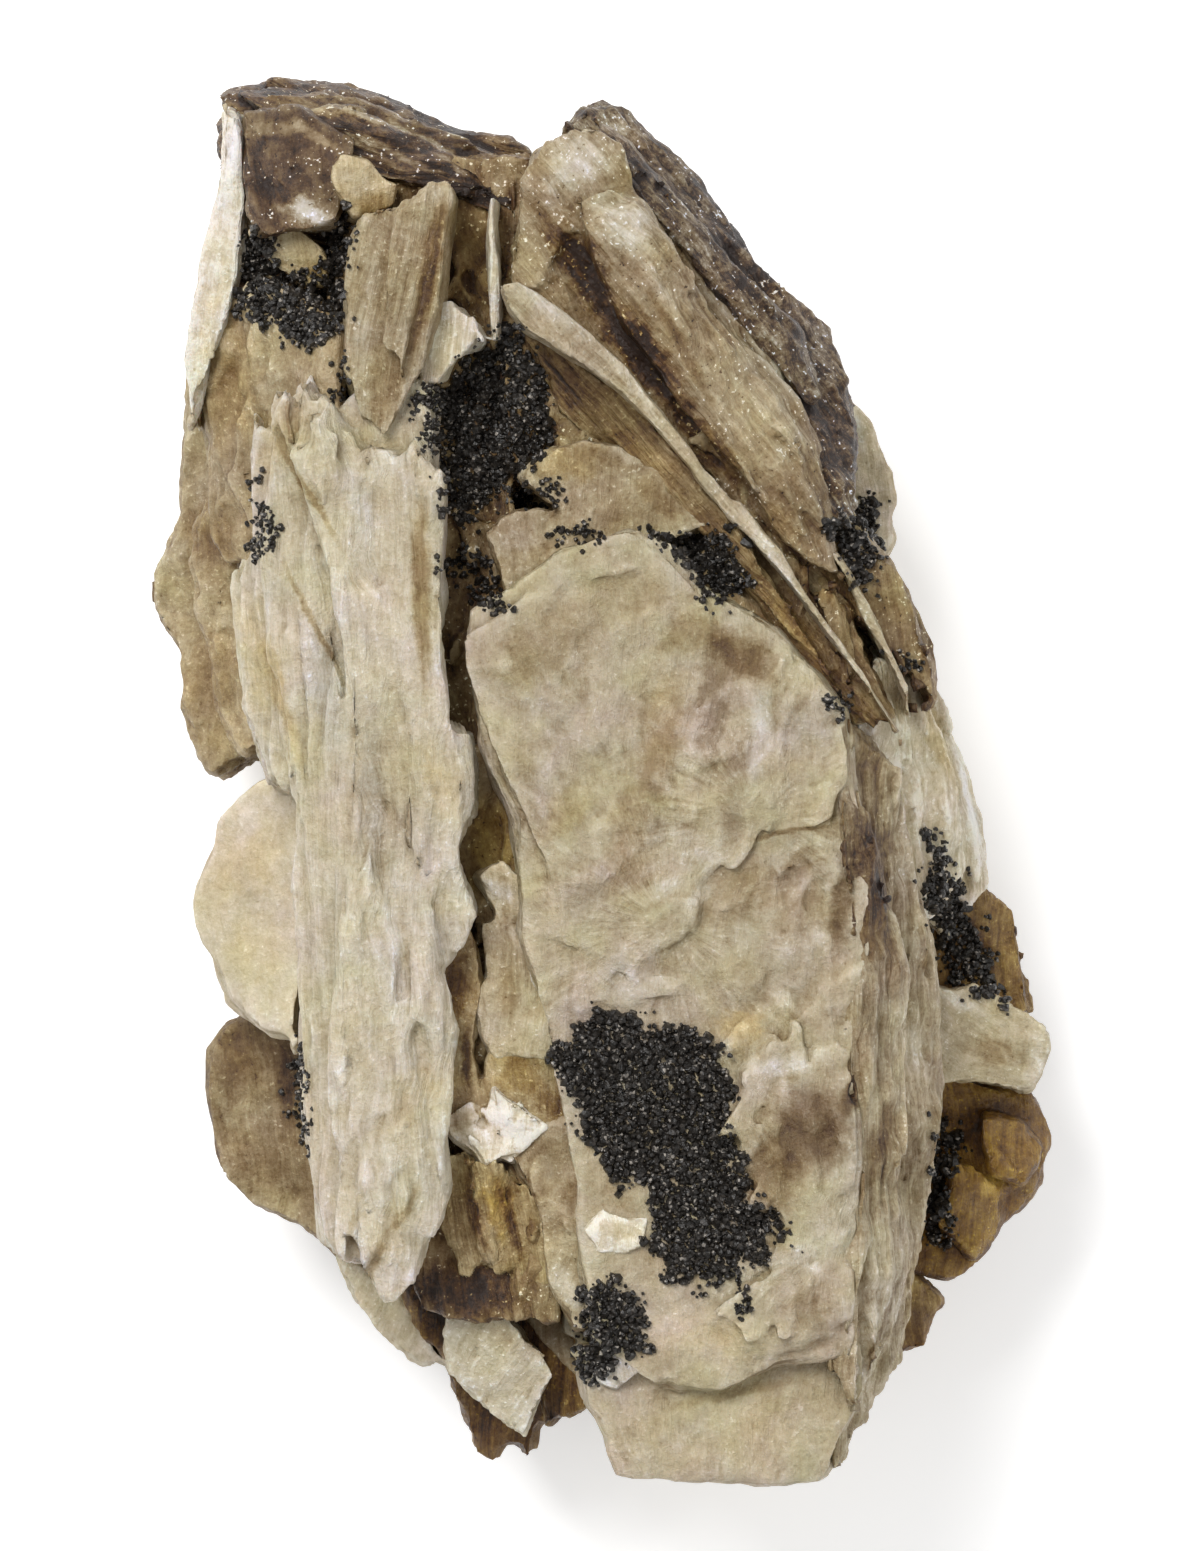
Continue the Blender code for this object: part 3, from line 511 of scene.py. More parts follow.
def mica(
    name,
    level,
    contrast=0.25,
    turn=(0, 0, 0),
    fibre=(0.45, 8.0, 3.0),
    fibres=0.3,
    side=-0.1,
    lines=0.5,
    warm=0.0,
    rough=0.45,
    shift=0.0,
    patches=(),
    plumes=(),
    relief=1.0,
    grain=0.36,
    sparkle=0.22,
    hue=0.26,
):
    """Mica, streaked on its faces and finely lined on its sheets' edges.

    patches are (x, y, half length, half width, angle, tone, warmth), and plumes are
    (x, y, reach, strands, strength).
    """
    finish = bpy.data.materials.new(name)
    finish.use_nodes = True
    tree = finish.node_tree
    shader = tree.nodes["Principled BSDF"]
    place = node(tree, "TexCoord")
    local = node(
        tree,
        "Mapping",
        {
            "Vector": place.outputs["Object"],
            "Location": (shift * MM, -shift * MM, shift * MM),
            "Rotation": [math.radians(angle) for angle in turn],
            "Scale": (MM, MM, MM),
        },
        vector_type="TEXTURE",
    ).outputs[0]
    level_place = node(
        tree, "Mapping", {"Vector": place.outputs["Object"], "Scale": (MM, MM, MM)}, vector_type="TEXTURE"
    ).outputs[0]
    drift = node(tree, "TexNoise", {"Vector": local, "Scale": 0.08, "Detail": 3.0})
    push = node(tree, "VectorMath", {0: drift.outputs["Color"], 1: (0.5, 0.5, 0.5)}, operation="SUBTRACT")
    bent = node(
        tree,
        "VectorMath",
        {0: push.outputs[0], 1: (6.0, 8.0, 2.0), 2: local},
        operation="MULTIPLY_ADD",
    ).outputs[0]
    swayed = node(
        tree, "VectorMath", {0: push.outputs[0], 1: (2.4, 2.4, 1.0), 2: level_place}, operation="MULTIPLY_ADD"
    ).outputs[0]
    stir = node(tree, "TexNoise", {"Vector": level_place, "Scale": 0.55, "Detail": 5.0, "Roughness": 0.7})
    tug = node(tree, "VectorMath", {0: stir.outputs["Color"], 1: (0.5, 0.5, 0.5)}, operation="SUBTRACT")
    stirred = node(
        tree,
        "VectorMath",
        {0: tug.outputs[0], 1: (4.5, 4.5, 4.5), 2: level_place},
        operation="MULTIPLY_ADD",
    ).outputs[0]

    broad = noise(tree, bent, 0.11, 3.0)
    patch = noise(tree, bent, 0.4, 4.0, 0.65)
    grainy = noise(tree, local, 1.3, 3.0, 0.65)
    fine = noise(tree, local, 4.0, 3.0, 0.7)
    along = node(tree, "Mapping", {"Vector": bent, "Scale": [1 / length for length in fibre]})
    strand = noise(tree, along.outputs[0], 1.0, 6.0, 0.75)
    across = node(tree, "Mapping", {"Vector": bent, "Scale": (0.12, 0.12, 2.2)})
    sheet = noise(tree, across.outputs[0], 1.0, 5.0, 0.75)

    up = Matrix.Rotation(math.radians(turn[2]), 3, "Z")
    up = up @ Matrix.Rotation(math.radians(turn[1]), 3, "Y")
    up = up @ Matrix.Rotation(math.radians(turn[0]), 3, "X")
    facing = node(
        tree,
        "VectorMath",
        {0: place.outputs["Normal"], 1: up @ Vector((0, 0, 1))},
        operation="DOT_PRODUCT",
    ).outputs["Value"]
    edge_on = between(tree, maths(tree, "ABSOLUTE", facing), 0.85, 0.45)
    flat = maths(tree, "SUBTRACT", 1.0, edge_on)

    total = maths(tree, "ADD", node(tree, "Attribute", attribute_name="tone").outputs["Fac"], level)
    total = weigh(tree, total, broad, contrast * 1.5)
    total = weigh(tree, total, patch, contrast * 1.3)
    total = weigh(tree, total, grainy, grain)
    total = weigh(tree, total, fine, grain * 0.9)
    lined = maths(tree, "MULTIPLY", edge_on, maths(tree, "SUBTRACT", sheet, 0.5))
    total = weigh(tree, total, lined, lines * 2.0, 0)
    streaked = maths(tree, "MULTIPLY", flat, maths(tree, "SUBTRACT", strand, 0.5))
    total = weigh(tree, total, streaked, fibres * 2.0, 0)
    total = weigh(tree, total, edge_on, side, 0.0)
    heat = weigh(tree, warm, noise(tree, bent, 0.24, 4.0), 2.6)
    shaken = node(
        tree, "VectorMath", {0: tug.outputs[0], 1: (1.5, 1.5, 1.5), 2: swayed}, operation="MULTIPLY_ADD"
    ).outputs[0]
    for x, y, long, wide, angle, tone, warmth in patches:
        spot = spread(tree, stirred if wide > WIDE_PATCH else shaken, x, y, long, wide, angle)
        total = weigh(tree, total, spot, tone, 0.0)
        if warmth:
            heat = weigh(tree, heat, spot, warmth, 0.0)
    feathers = None
    for x, y, reach, strands, strength in plumes:
        streaks = maths(tree, "MULTIPLY", plume(tree, swayed, x, y, reach, strands), flat)
        total = weigh(tree, total, streaks, strength * 2, 0.0)
        feathers = streaks if feathers is None else maths(tree, "ADD", feathers, streaks)
    # Painted shade and light: pointiness makes the creases darker and the sharp edges lighter.
    painted_crease_shade_and_edge_light = node(tree, "NewGeometry").outputs["Pointiness"]
    total = weigh(tree, total, between(tree, painted_crease_shade_and_edge_light, 0.40, 0.60), 0.3)
    # Painted glints: sparkle lightens small specks towards white, and these specks also get a lower
    # roughness; other specks are made darker.
    where = between(tree, noise(tree, bent, 0.22, 3.0, 0.7), 0.36, 0.64)
    specks = maths(tree, "ADD", noise(tree, local, 2.6, 2.0, 0.6), maths(tree, "MULTIPLY", where, 0.07))
    painted_glint_specks = between(tree, specks, 0.68, 0.76)
    total = weigh(tree, total, painted_glint_specks, sparkle, 0.0)
    total = weigh(tree, total, between(tree, specks, 0.36, 0.28), -sparkle * 0.6, 0.0)
    colour = ramp(tree, total, [(at, linear(rgb)) for at, rgb in TONES])
    green = maths(tree, "MULTIPLY", maths(tree, "SUBTRACT", noise(tree, bent, 0.17, 4.0, 0.6), 0.5), hue)
    tinted = colour
    for amount, push_by in ((heat, WARMING), (green, GREENING)):
        shade = node(
            tree,
            "VectorMath",
            {0: node(tree, "CombineXYZ", {0: amount, 1: amount, 2: amount}).outputs[0], 1: push_by,
             2: (1, 1, 1)},
            operation="MULTIPLY_ADD",
        )
        tinted = node(tree, "VectorMath", {0: tinted, 1: shade.outputs[0]}, operation="MULTIPLY").outputs[0]
    tree.links.new(tinted, shader.inputs["Base Color"])

    gloss = weigh(tree, rough, grainy, -0.3)
    gloss = weigh(tree, gloss, painted_glint_specks, -0.25, 0.0)
    tree.links.new(gloss, shader.inputs["Roughness"])

    high = weigh(tree, maths(tree, "MULTIPLY", fine, 0.12), maths(tree, "MULTIPLY", strand, flat), 0.4, 0)
    high = weigh(tree, high, grainy, 0.35, 0)
    high = weigh(tree, high, maths(tree, "MULTIPLY", sheet, edge_on), 0.6, 0)
    if feathers is not None:
        high = weigh(tree, high, feathers, 0.3, 0)
    bump = node(tree, "Bump", {"Height": high, "Strength": 0.8, "Distance": relief * MM})
    tree.links.new(bump.outputs["Normal"], shader.inputs["Normal"])
    shader.inputs["Subsurface Weight"].default_value = 0.12
    shader.inputs["Subsurface Radius"].default_value = (1.0, 0.6, 0.35)
    shader.inputs["Subsurface Scale"].default_value = 0.8 * MM
    shader.inputs["Specular IOR Level"].default_value = 0.5
    return finish


def black_crystal():
    """Velvet black, with a painted glint, a pale colour, on a few of the crystals' faces."""
    finish = bpy.data.materials.new("black crystal")
    finish.use_nodes = True
    tree = finish.node_tree
    shader = tree.nodes["Principled BSDF"]
    place = node(tree, "TexCoord").outputs["Object"]
    local = node(tree, "Mapping", {"Vector": place, "Scale": (MM, MM, MM)}, vector_type="TEXTURE")
    grain = node(tree, "TexVoronoi", {"Vector": local.outputs[0], "Scale": 4.5})
    shade = node(tree, "SeparateColor", {0: grain.outputs["Color"]}).outputs[0]
    colour = ramp(
        tree,
        shade,
        # The top stop is a painted glint: a few cells turn pale grey.
        [(0.0, linear((19, 16, 13))), (0.7, linear((36, 32, 28))), (0.93, linear((58, 53, 48))),
         (0.985, linear((150, 143, 134)))],
    )
    tree.links.new(colour, shader.inputs["Base Color"])
    gloss = weigh(tree, 0.36, noise(tree, local.outputs[0], 2.4), 0.5)
    tree.links.new(gloss, shader.inputs["Roughness"])
    bump = node(
        tree,
        "Bump",
        {"Height": noise(tree, local.outputs[0], 4.0, 3.0), "Strength": 0.6, "Distance": 0.2 * MM},
    )
    tree.links.new(bump.outputs["Normal"], shader.inputs["Normal"])
    return finish


def finished(obj, material, nodes=("mica_cluster",)):
    """Gives a piece its material and its place in the part; nodes are those that it stands for."""
    obj.data.materials.clear()
    obj.data.materials.append(material)
    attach(obj, "root")
    if nodes:
        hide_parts(*nodes)


# ---------------------------------------------------------------- the books


def rock(name, parts, finish, turn=(0, 0, 0), voxel=VOXEL, soften=3, scales=(), **relief):
    """One piece of the cluster: its slabs joined, scaled over, remeshed, weathered and finished.

    scales are (region, count, angle, size, wander, tilt) of the plates that show as relief.
    """
    obj = joined(name, parts)
    if scales:
        rng = random.Random(name)
        shapes = plate_shapes()
        trees = [surface(obj)]
        copies = []
        for layer in scales:
            copies += plates(rng, shapes, trees, *layer)
        obj = joined(name, [obj, *copies])
        for shape in shapes:
            bpy.data.objects.remove(shape)
    skin(obj, voxel, soften)
    weather(obj, turn, **relief)
    thinned(obj, KEPT_FACES)
    finished(obj, finish)


def back_books():
    """The back half of the cluster, whose cleavage faces make the flat underside."""
    left = [
        (-25, 44), (-14, 49), (-8, 40), (-4, 24), (-5, 4), (-4, -20), (-8, -40),
        (-17, -39), (-22, -30), (-23, -4), (-27, 8), (-28, 30),
    ]
    right = [
        (-12, 20), (0, 26), (12, 20), (19, 8), (24, -8), (25, -28),
        (22, -44), (16, -52.6), (3, -52), (-6, -44), (-12, -34), (-14, -4),
    ]
    top = [
        (-16, 22), (-14, 45), (-4, 48.6), (5, 45.4), (12.6, 36), (18, 26), (18, 12), (0, 10),
    ]
    rock("back_books", [
        *book("left_back", left, (0.5, 0, 0), (27.4, 0.04, -0.01), 5, 0.12, (3.0, 1.0)),
        *book("right_back", right, (0.5, 0, 0), (28.3, 0, -0.02), 6, 0.12, (-2.0, 1.5)),
        *book("top_back", top, (0.5, 0, 0), (26.6, -0.08, -0.03), 5, 0.14, (-1.5, -3.0)),
    ], mica("back mica", 0.46, 0.3, side=-0.06, lines=0.6), voxel=BACK_VOXEL, sheets=1.3, ledges=2.0)


def gaps():
    """The brown floors of the gaps between the upper books."""
    seam = [
        (-14, 21), (-6, 21), (-5, 14), (-8, 5), (-5.5, -3), (-5, -12), (-3.5, -21), (-2, -30),
        (-2, -43), (-12, -43), (-15, -30), (-13, -20), (-13, -5), (-15, 6),
    ]
    upper = [(-21, 47), (-13, 49), (-5, 49), (-2, 40), (-4, 30), (-6, 20), (-14, 20), (-20, 30)]
    under_blade = [(-8, 36), (-2, 35), (6, 26), (14, 16), (21, 7), (19, 3), (12, 8), (2, 16), (-8, 22)]
    behind_blade = [(6, 26), (14, 17), (23, 5), (26, 6), (23, 14), (17, 22), (10, 28)]
    rock("gaps", [
        slab("seam_floor", seam, (22, 0, 0), (33.4, 0.12, 0.0)),
        slab("upper_floor", upper, (20, 0, 0), (32.4, 0.1, 0.02)),
        slab("under_blade_floor", under_blade, (22, 0, 0), (33.6, -0.05, 0.0)),
        slab("behind_blade_floor", behind_blade, (16, 0, 0), (32.4, -0.3, 0.0)),
    ], mica(
        "brown gap", 0.37, 0.34, (0, 30, 10), fibres=0.3, warm=0.7, sparkle=0.6,
        patches=(
            (-8.5, 5, 8, 2.6, 95, 0.10, -0.2), (-8.5, -5.6, 5, 2.6, 90, 0.18, 2.2),
            (-9.8, 42, 6, 3.2, 90, 0.02, 1.1), (-7, 27, 6, 4, 90, -0.12, 0.2),
            (12.5, 11, 5, 1.6, -50, -0.08, 1.0), (-8, -36, 6, 5, 90, 0.0, 1.2),
            (-11, -41, 5, 3, -10, -0.3, 0.4),
            (-3, 24, 4, 2, -20, -0.1, 0.4), (18, 16, 6, 2, -50, -0.06, 0.8),
        ),
    ), (0, 30, 10), ledges=0, scales=(
        ([(-20, 48), (-2, 44), (24, 4), (10, 10), (-2, 20), (-2, -42), (-14, -42), (-16, 20)], 110, 88,
         (3, 9, 0.8, 2.4, 0.8, 2.0), 26, 10),
    ), sheets=1.2, lumps=1.2, grit=0.5, fibres=0.5)


def main_book():
    """The wide book on the right: its cleavage face, the ledges on it and the block at its foot."""
    face = [
        (-9.6, 12), (-6.5, 14), (-3, 17.2), (2.5, 19), (6, 17.5), (8, 14.5), (14, 11),
        (19, 5.5), (20.4, -4), (20.6, -18), (20.8, -32), (20, -45.5), (13.5, -46.5), (4, -48.2),
        (-1.6, -44), (-2.0, -30), (-3.8, -21), (-6, -12), (-6.2, -3), (-9, 5),
    ]
    upper_ledge = [
        (-9.3, 11), (-6.2, 13.4), (-2.6, 16.5), (2.6, 18.2), (7.4, 13.9), (13.6, 10.2),
        (18.2, 5.2), (17.8, -3.4), (12.6, -4.6), (9.4, -7.6), (5.6, -10), (2.2, -15.6), (-1.2, -13.4),
        (-5.4, -11.6), (-5.6, -3), (-8.4, 5),
    ]
    lower_ledge = [
        (10.8, -24), (17, -22.4), (20.2, -27), (19.6, -36), (18.8, -44), (13, -45.4), (9, -42.6),
        (14.2, -38.4), (14.6, -34.6), (11.6, -31.6), (10.9, -27),
    ]
    foot = [
        (-0.7, -44), (-0.7, -49.3), (0.6, -51.6), (1.6, -54.7), (8, -55.2), (18, -55.3), (19.2, -53.8),
        (21.5, -48), (20.4, -44),
    ]
    foot_tongue = [
        (4, -40), (15, -40), (15.6, -44), (13.6, -46.8), (10, -48.3), (6, -48.4), (3.6, -46.6),
    ]
    rock("main_book", [
        *book("main_face", face, (MIDDLE - 1.1, 0, 0), (MAIN_FACE, -0.04, 0.01), 2, 0.03),
        slab("main_upper_ledge", upper_ledge, (35.0, 0, 0), (MAIN_FACE + 0.75, -0.05, 0.0)),
        slab("main_lower_ledge", lower_ledge, (34.0, 0, 0), (MAIN_FACE + 0.1, -0.1, 0.01)),
        slab("main_foot_tongue", foot_tongue, (33.0, 0, 0), (MAIN_FACE - 0.5, -0.02, 0.05)),
        *book("main_foot", foot, (3.1, 0.05, -0.08), (35.4, -0.06, 0.04), 5, 0.06, (0, 2.0)),
    ], mica(
        "beige cleavage face", 0.64, 0.15, fibres=0.1, grain=0.26, sparkle=0.12, hue=0.36, lines=0.6,
        side=-0.06,
        warm=-0.25, shift=11,
        patches=(
            (5.4, -8.8, 1.8, 0.8, 20, 0.14, -0.4), (7.8, -9.4, 1.6, 0.7, 60, 0.14, -0.4),
            (8.5, -6.5, 2.4, 1.4, 40, 0.1, -0.4),
            (-4.5, 10.2, 5, 3.5, 20, -0.1, 0.3), (0.5, 13.5, 5, 2.5, 10, -0.02, 0.3),
            (5, 4, 5.5, 2, 75, -0.1, 0.7), (3, -3, 7, 2.2, 70, -0.1, 0.7), (-3, -3.5, 5, 1.6, 50, -0.05, 0.6),
            # The dark patch at (11.4, 9.4) on the next line is painted shade in the recess beside the blade.
            (9, 6, 7, 1.5, 84, -0.2, -0.2), (11.4, 9.4, 3.6, 2.2, -40, -0.3, 0.2),
            (7.5, 11.5, 2.6, 1.8, 10, -0.14, 0.5),
            (12.4, 3.5, 6, 1.0, 84, 0.12, -0.7), (10.6, -1, 6, 1.2, 80, -0.14, -0.4),
            (16, 3.5, 4, 2.6, 40, 0.02, -0.3), (12.5, -8.5, 5.5, 2.4, 35, -0.13, 0.5),
            (15.6, -11, 3, 1.8, 40, -0.1, 0.3), (14.8, -4.6, 4, 0.35, 8, -0.25, 0.3),
            (14.2, -6.4, 2.4, 0.9, 25, 0.14, -0.3), (3, -16.4, 5, 2.6, -20, 0.07, -0.2),
            (-4.4, -8, 2.4, 5, 0, 0.06, 0.1), (11.2, -19.8, 2.4, 1.9, 0, 0.02, 1.5),
            (14.6, -22.6, 3.6, 1.1, 8, 0.2, -0.4), (16.4, -28, 5, 4, 50, -0.32, -0.3),
            (13.4, -31.6, 3, 3.4, 0, -0.22, 0.6), (19.4, -10, 5.5, 1.1, 80, -0.3, -0.2),
            (20.2, -24.5, 3, 0.9, 70, -0.4, 0.0), (17.2, -37, 2.6, 2.2, 0, 0.1, -0.4),
            (16.8, -42, 3.2, 2.6, 60, -0.12, 0.1), (8.6, -44, 5, 2.6, 0, 0.05, 0.6),
            (9, -52, 12, 4.5, 0, 0.09, 0.5), (8, -44, 6, 3, 0, 0.09, 0.3),
            (10.5, -48.9, 6, 0.6, 8, -0.12, 0.4),
            (0, -32, 2.4, 4, 0, -0.05, 0.4), (-1.2, -38, 1.6, 5, 0, 0.06, -0.2),
        ),
        plumes=(
            (5.6, -11.4, 40, 13, 0.3), (-2.4, -13.6, 12, 9, 0.22), (11.5, -24.5, 9, 8, 0.24),
            (12.4, -3.6, 15, 8, 0.4), (18, -37, 12, 10, 0.3), (8, -66, 26, 26, 0.35),
        ),
    ), scales=(
        ([(13, 9), (20, 4), (21, -45), (14, -45), (12, -20), (11, -4)], 70, 78,
         (3, 9, 1.0, 2.6, 0.6, 1.0), 18, 3),
        ([(-9, 12), (2, 18), (12, 10), (14, -20), (4, -20), (-6, -10)], 34, 60,
         (4, 10, 2.0, 4.5, 0.5, 0.75), 50, 1.2),
        ([(10, -22), (20, -22), (20, -45), (9, -43), (12, -34)], 22, 60, (3, 7, 1.5, 3.5, 0.6, 1.0), 40, 3),
    ), soften=3, sheets=0.5, lumps=0.9, grit=0.3, ledges=1.8)


def right_flank():
    """The steep side of the main book, with two folds that stand out of it."""
    slope = -1.9
    flank = [
        (19.4, 5), (24, 0.5), (25.2, -5), (27, -12), (28, -17), (28, -25), (27, -31),
        (26, -38), (24.4, -46.6), (20.8, -52), (19.4, -55.4), (19.2, -44), (19.8, -30), (19, -12),
    ]
    high_fold = [
        (19, -1), (21.5, -2.6), (24.6, -12), (25.4, -20), (24.4, -28), (22.4, -21), (21, -12),
    ]
    low_fold = [
        (20.6, -27), (23, -29), (24.6, -38), (23, -46), (20.4, -50), (20.8, -40),
    ]
    lip = [
        (18.4, 2), (21, -2), (21.4, -20), (21.6, -32), (21.2, -44), (20.4, -50), (18.8, -46), (18.4, -30),
        (18.2, -12),
    ]
    at_fold = MAIN_FACE - 0.4
    middle_x = middle_of(flank)[0]
    turn = (0, 58, 6)
    rock("right_flank", [
        slab("flank", flank, (11.4, 0.1, 0.02), (at_fold + slope * (middle_x - 19.8), slope, 0.08)),
        *book("flank_foot", moved(flank, 0.93), (4.2, 0.1, 0.02), (14.4, -0.2, 0), 3, 0.1),
        slab("flank_lip", lip, (24.0, 0, 0), (36.8, 0, 0)),
        slab("flank_high_fold", high_fold, (20.0, 0, 0), (35.4, -0.9, 0.05)),
        slab("flank_low_fold", low_fold, (18.0, 0, 0), (34.2, -1.1, 0.08)),
    ], mica(
        "streaked flank", 0.54, 0.3, turn, (0.35, 11, 4), fibres=0.5, lines=0.4, side=0.0,
        patches=(
            (21.4, -8, 8, 2.4, 96, -0.38, 0.2), (21.4, 1, 4, 2, 100, -0.2, 0.4),
            (24.6, -22.5, 6, 1.6, 100, 0.2, 0.2),
            (22.4, -29, 4, 1.2, 80, -0.24, 0.4), (22.6, -37, 4, 1.6, 80, 0.12, 0.0),
            (21.8, -44, 7, 1.4, 72, 0.18, -0.2),
            (22.6, -43, 4.5, 0.35, 68, -0.3, 0.2), (25.4, -41, 6, 1.2, 80, -0.1, 1.0),
            (26.6, -14, 4, 1.0, 110, 0.1, 0.3), (22.2, -17, 5, 1.4, 90, -0.04, -0.5),
        ),
    ), turn, scales=(
        ([(19, 4), (24, 0), (29, -18), (26, -40), (19, -55)], 110, 84, (7, 24, 0.8, 2.6, 0.7, 1.4), 6, 2),
    ), soften=4, sheets=0.9, lumps=1.0, grit=0.2, fibres=0.9)


def left_slab():
    """The long fibrous slab on the left, arched across, with a ragged right edge."""
    crest = [
        (-26.2, 28.4), (-25.4, 30.6), (-24.2, 29.2), (-23.2, 31.9), (-22.4, 29.8), (-21.5, 30.6),
        (-20.4, 28.2),
        (-17.8, 26), (-15.8, 25.8), (-14.6, 27.0), (-13.2, 25), (-13.5, 16),
        (-14.5, 9), (-13, 4.6), (-11, 4), (-10.4, -2), (-12, -6), (-10.3, -11), (-12.9, -16.5),
        (-11.3, -20.5), (-12.4, -27), (-11.8, -32), (-12.6, -35.4), (-14.8, -40), (-16.2, -41.6),
        (-18.4, -38.8),
        (-20.2, -38.4), (-21.8, -20), (-21, -6), (-19.4, 4), (-20.6, 12), (-21, 18.6), (-23.4, 23),
    ]
    west = [
        (-27.3, 29.0), (-25.6, 27), (-21.4, 20), (-20, 8), (-19.4, 0), (-20.8, -20), (-19.6, -38.6),
        (-21.6, -37), (-23.4, -28), (-23.5, -12), (-24.0, -1), (-26, 5), (-27.5, 11),
        (-28, 15), (-26.6, 19), (-27.0, 24),
    ]
    ribs = [
        [
            (-24.4, 25.8), (-21.6, 27.6), (-18.4, 22), (-17.2, 4), (-17, -18), (-18.6, -22), (-19.4, 0),
            (-20.6, 14)
        ],
        [
            (-15.4, 26), (-13.9, 24.4), (-14.2, 10), (-14.8, 8), (-13.2, -2), (-13.4, -19),
            (-15.6, -13), (-16.6, 6)
        ],
        [(-19.6, -13), (-16.2, -17), (-14.2, -28), (-16, -38), (-19.0, -36), (-21.4, -25)],
        [(-13.6, 3), (-11.4, 3.4), (-10.6, -2), (-11.6, -5), (-12.8, -9), (-14.6, -6)],
        [
            (-25.2, 16.8), (-21.9, 11), (-19.9, 5.6), (-19.2, -2), (-20, -12), (-22.6, -8), (-24, 0),
            (-26.6, 10)
        ],
    ]
    rib_tops = (
        (LEFT_SLAB + 0.3, -0.1, 0.01), (LEFT_SLAB + 0.2, 0.06, 0.0), (LEFT_SLAB + 0.3, -0.08, 0.03),
        (LEFT_SLAB + 0.4, 0.1, 0.0), (38.9, 0.26, 0.0),
    )
    core = [
        (-24.6, 27), (-16, 25), (-15, 0), (-14, -20), (-17, -36), (-21, -28), (-22, -6), (-24.6, 8),
        (-25.6, 18)
    ]
    saddle = [(-20.6, 29.6), (-18, 31), (-14.6, 32), (-12.6, 30), (-12.8, 24), (-18, 23), (-21, 26)]
    lamella = [(-29, 15.5), (-27.6, 16), (-25.2, 9), (-23.4, 2.5), (-23, -2), (-26, -1), (-28.3, 6)]
    turn = (0, 50, 2)
    rock("left_slab", [
        slab("left_crest", crest, (20.6, 0, 0), (LEFT_SLAB - 0.4, 0.03, 0.01)),
        slab("left_west", west, (26.2, 0.6, 0), (37.2, 1.0, 0.0)),
        slab("left_core", core, (24.0, 0, 0), (38.9, 0.1, 0.0)),
        *book("left_west_foot", west, (12.4, 0, 0), (28.4, 0.5, 0.0), 3, 0.08, (1.5, 0)),
        *row("left_rib", ribs, (30, 0, 0), rib_tops),
        slab("left_saddle", saddle, (26, 0, 0), (38.4, 0.1, 0.0)),
        slab("left_lamella", lamella, (26, 0, 0), (34.4, 0.6, 0.0)),
    ], mica(
        "cream slab", 0.76, 0.15, turn, (0.3, 9, 3), fibres=0.34, lines=0.25, side=-0.02, warm=-0.3,
        grain=0.28, sparkle=0.1, hue=0.28,
        patches=(
            (-25.4, 7, 8, 0.9, 108, -0.1, 1.5), (-27.4, 9.5, 6, 1.0, 105, 0.04, 1.0),
            (-22.6, 21.6, 5.5, 0.35, -60, -0.24, 0.8), (-22.2, 11.6, 6.5, 0.35, -64, -0.22, 0.8),
            (-13.9, 15, 9, 0.9, 90, -0.3, 1.2), (-17.5, 0, 10, 3.4, 90, -0.09, 0.0),
            (-17.6, -38, 3, 0.6, 70, -0.2, 0.5), (-15.4, -34, 3, 0.5, 60, -0.2, 0.5),
            (-19.4, -35, 3, 0.4, 80, -0.16, 0.3), (-15.6, 29, 3, 2, 0, -0.08, -0.2),
            (-12.4, -0.4, 4, 1.6, 95, -0.02, 0.7),
            (-21.6, 6, 6, 1.7, 100, -0.06, -0.8), (-18, -1, 7, 1.2, 88, -0.06, -0.8),
            (-12.4, -13, 4, 1.4, 80, -0.08, -0.5), (-20.8, -28, 8, 1.4, 85, 0.07, -0.2),
            (-14.8, -25, 4.5, 1.8, 60, -0.07, 0.5), (-25, 27, 3.5, 2, 60, -0.1, 0.8),
            (-18.6, 21, 6, 1.2, 100, 0.06, -0.3), (-16.4, -12, 9, 0.8, 92, 0.06, -0.2),
            (-16.6, -36, 4, 1.6, 60, -0.03, 0.4), (-23.3, -23, 4, 0.5, 90, -0.1, 0.5),
        ),
    ), turn, scales=(
        ([(-28, 31), (-12, 27), (-10, 2), (-10, -22), (-14, -42), (-24, -37), (-25, 0), (-29, 14)], 90, 92,
         (9, 26, 1.4, 3.6, 0.35, 0.7), 5, 1.5),
        ([(-26, 33), (-19, 30), (-13, 27), (-13, 23), (-26, 24)], 34, 100, (3, 6, 0.6, 1.2, 0.6, 1.0), 14, 6),
        ([(-21, -26), (-12, -24), (-12, -35), (-15, -41), (-20, -39)], 40, 72,
         (2, 7, 0.6, 1.4, 0.5, 0.9), 22, 7),
    ), soften=3, sheets=0.3, lumps=0.6, grit=0.25, fibres=0.45, ledges=2.0)


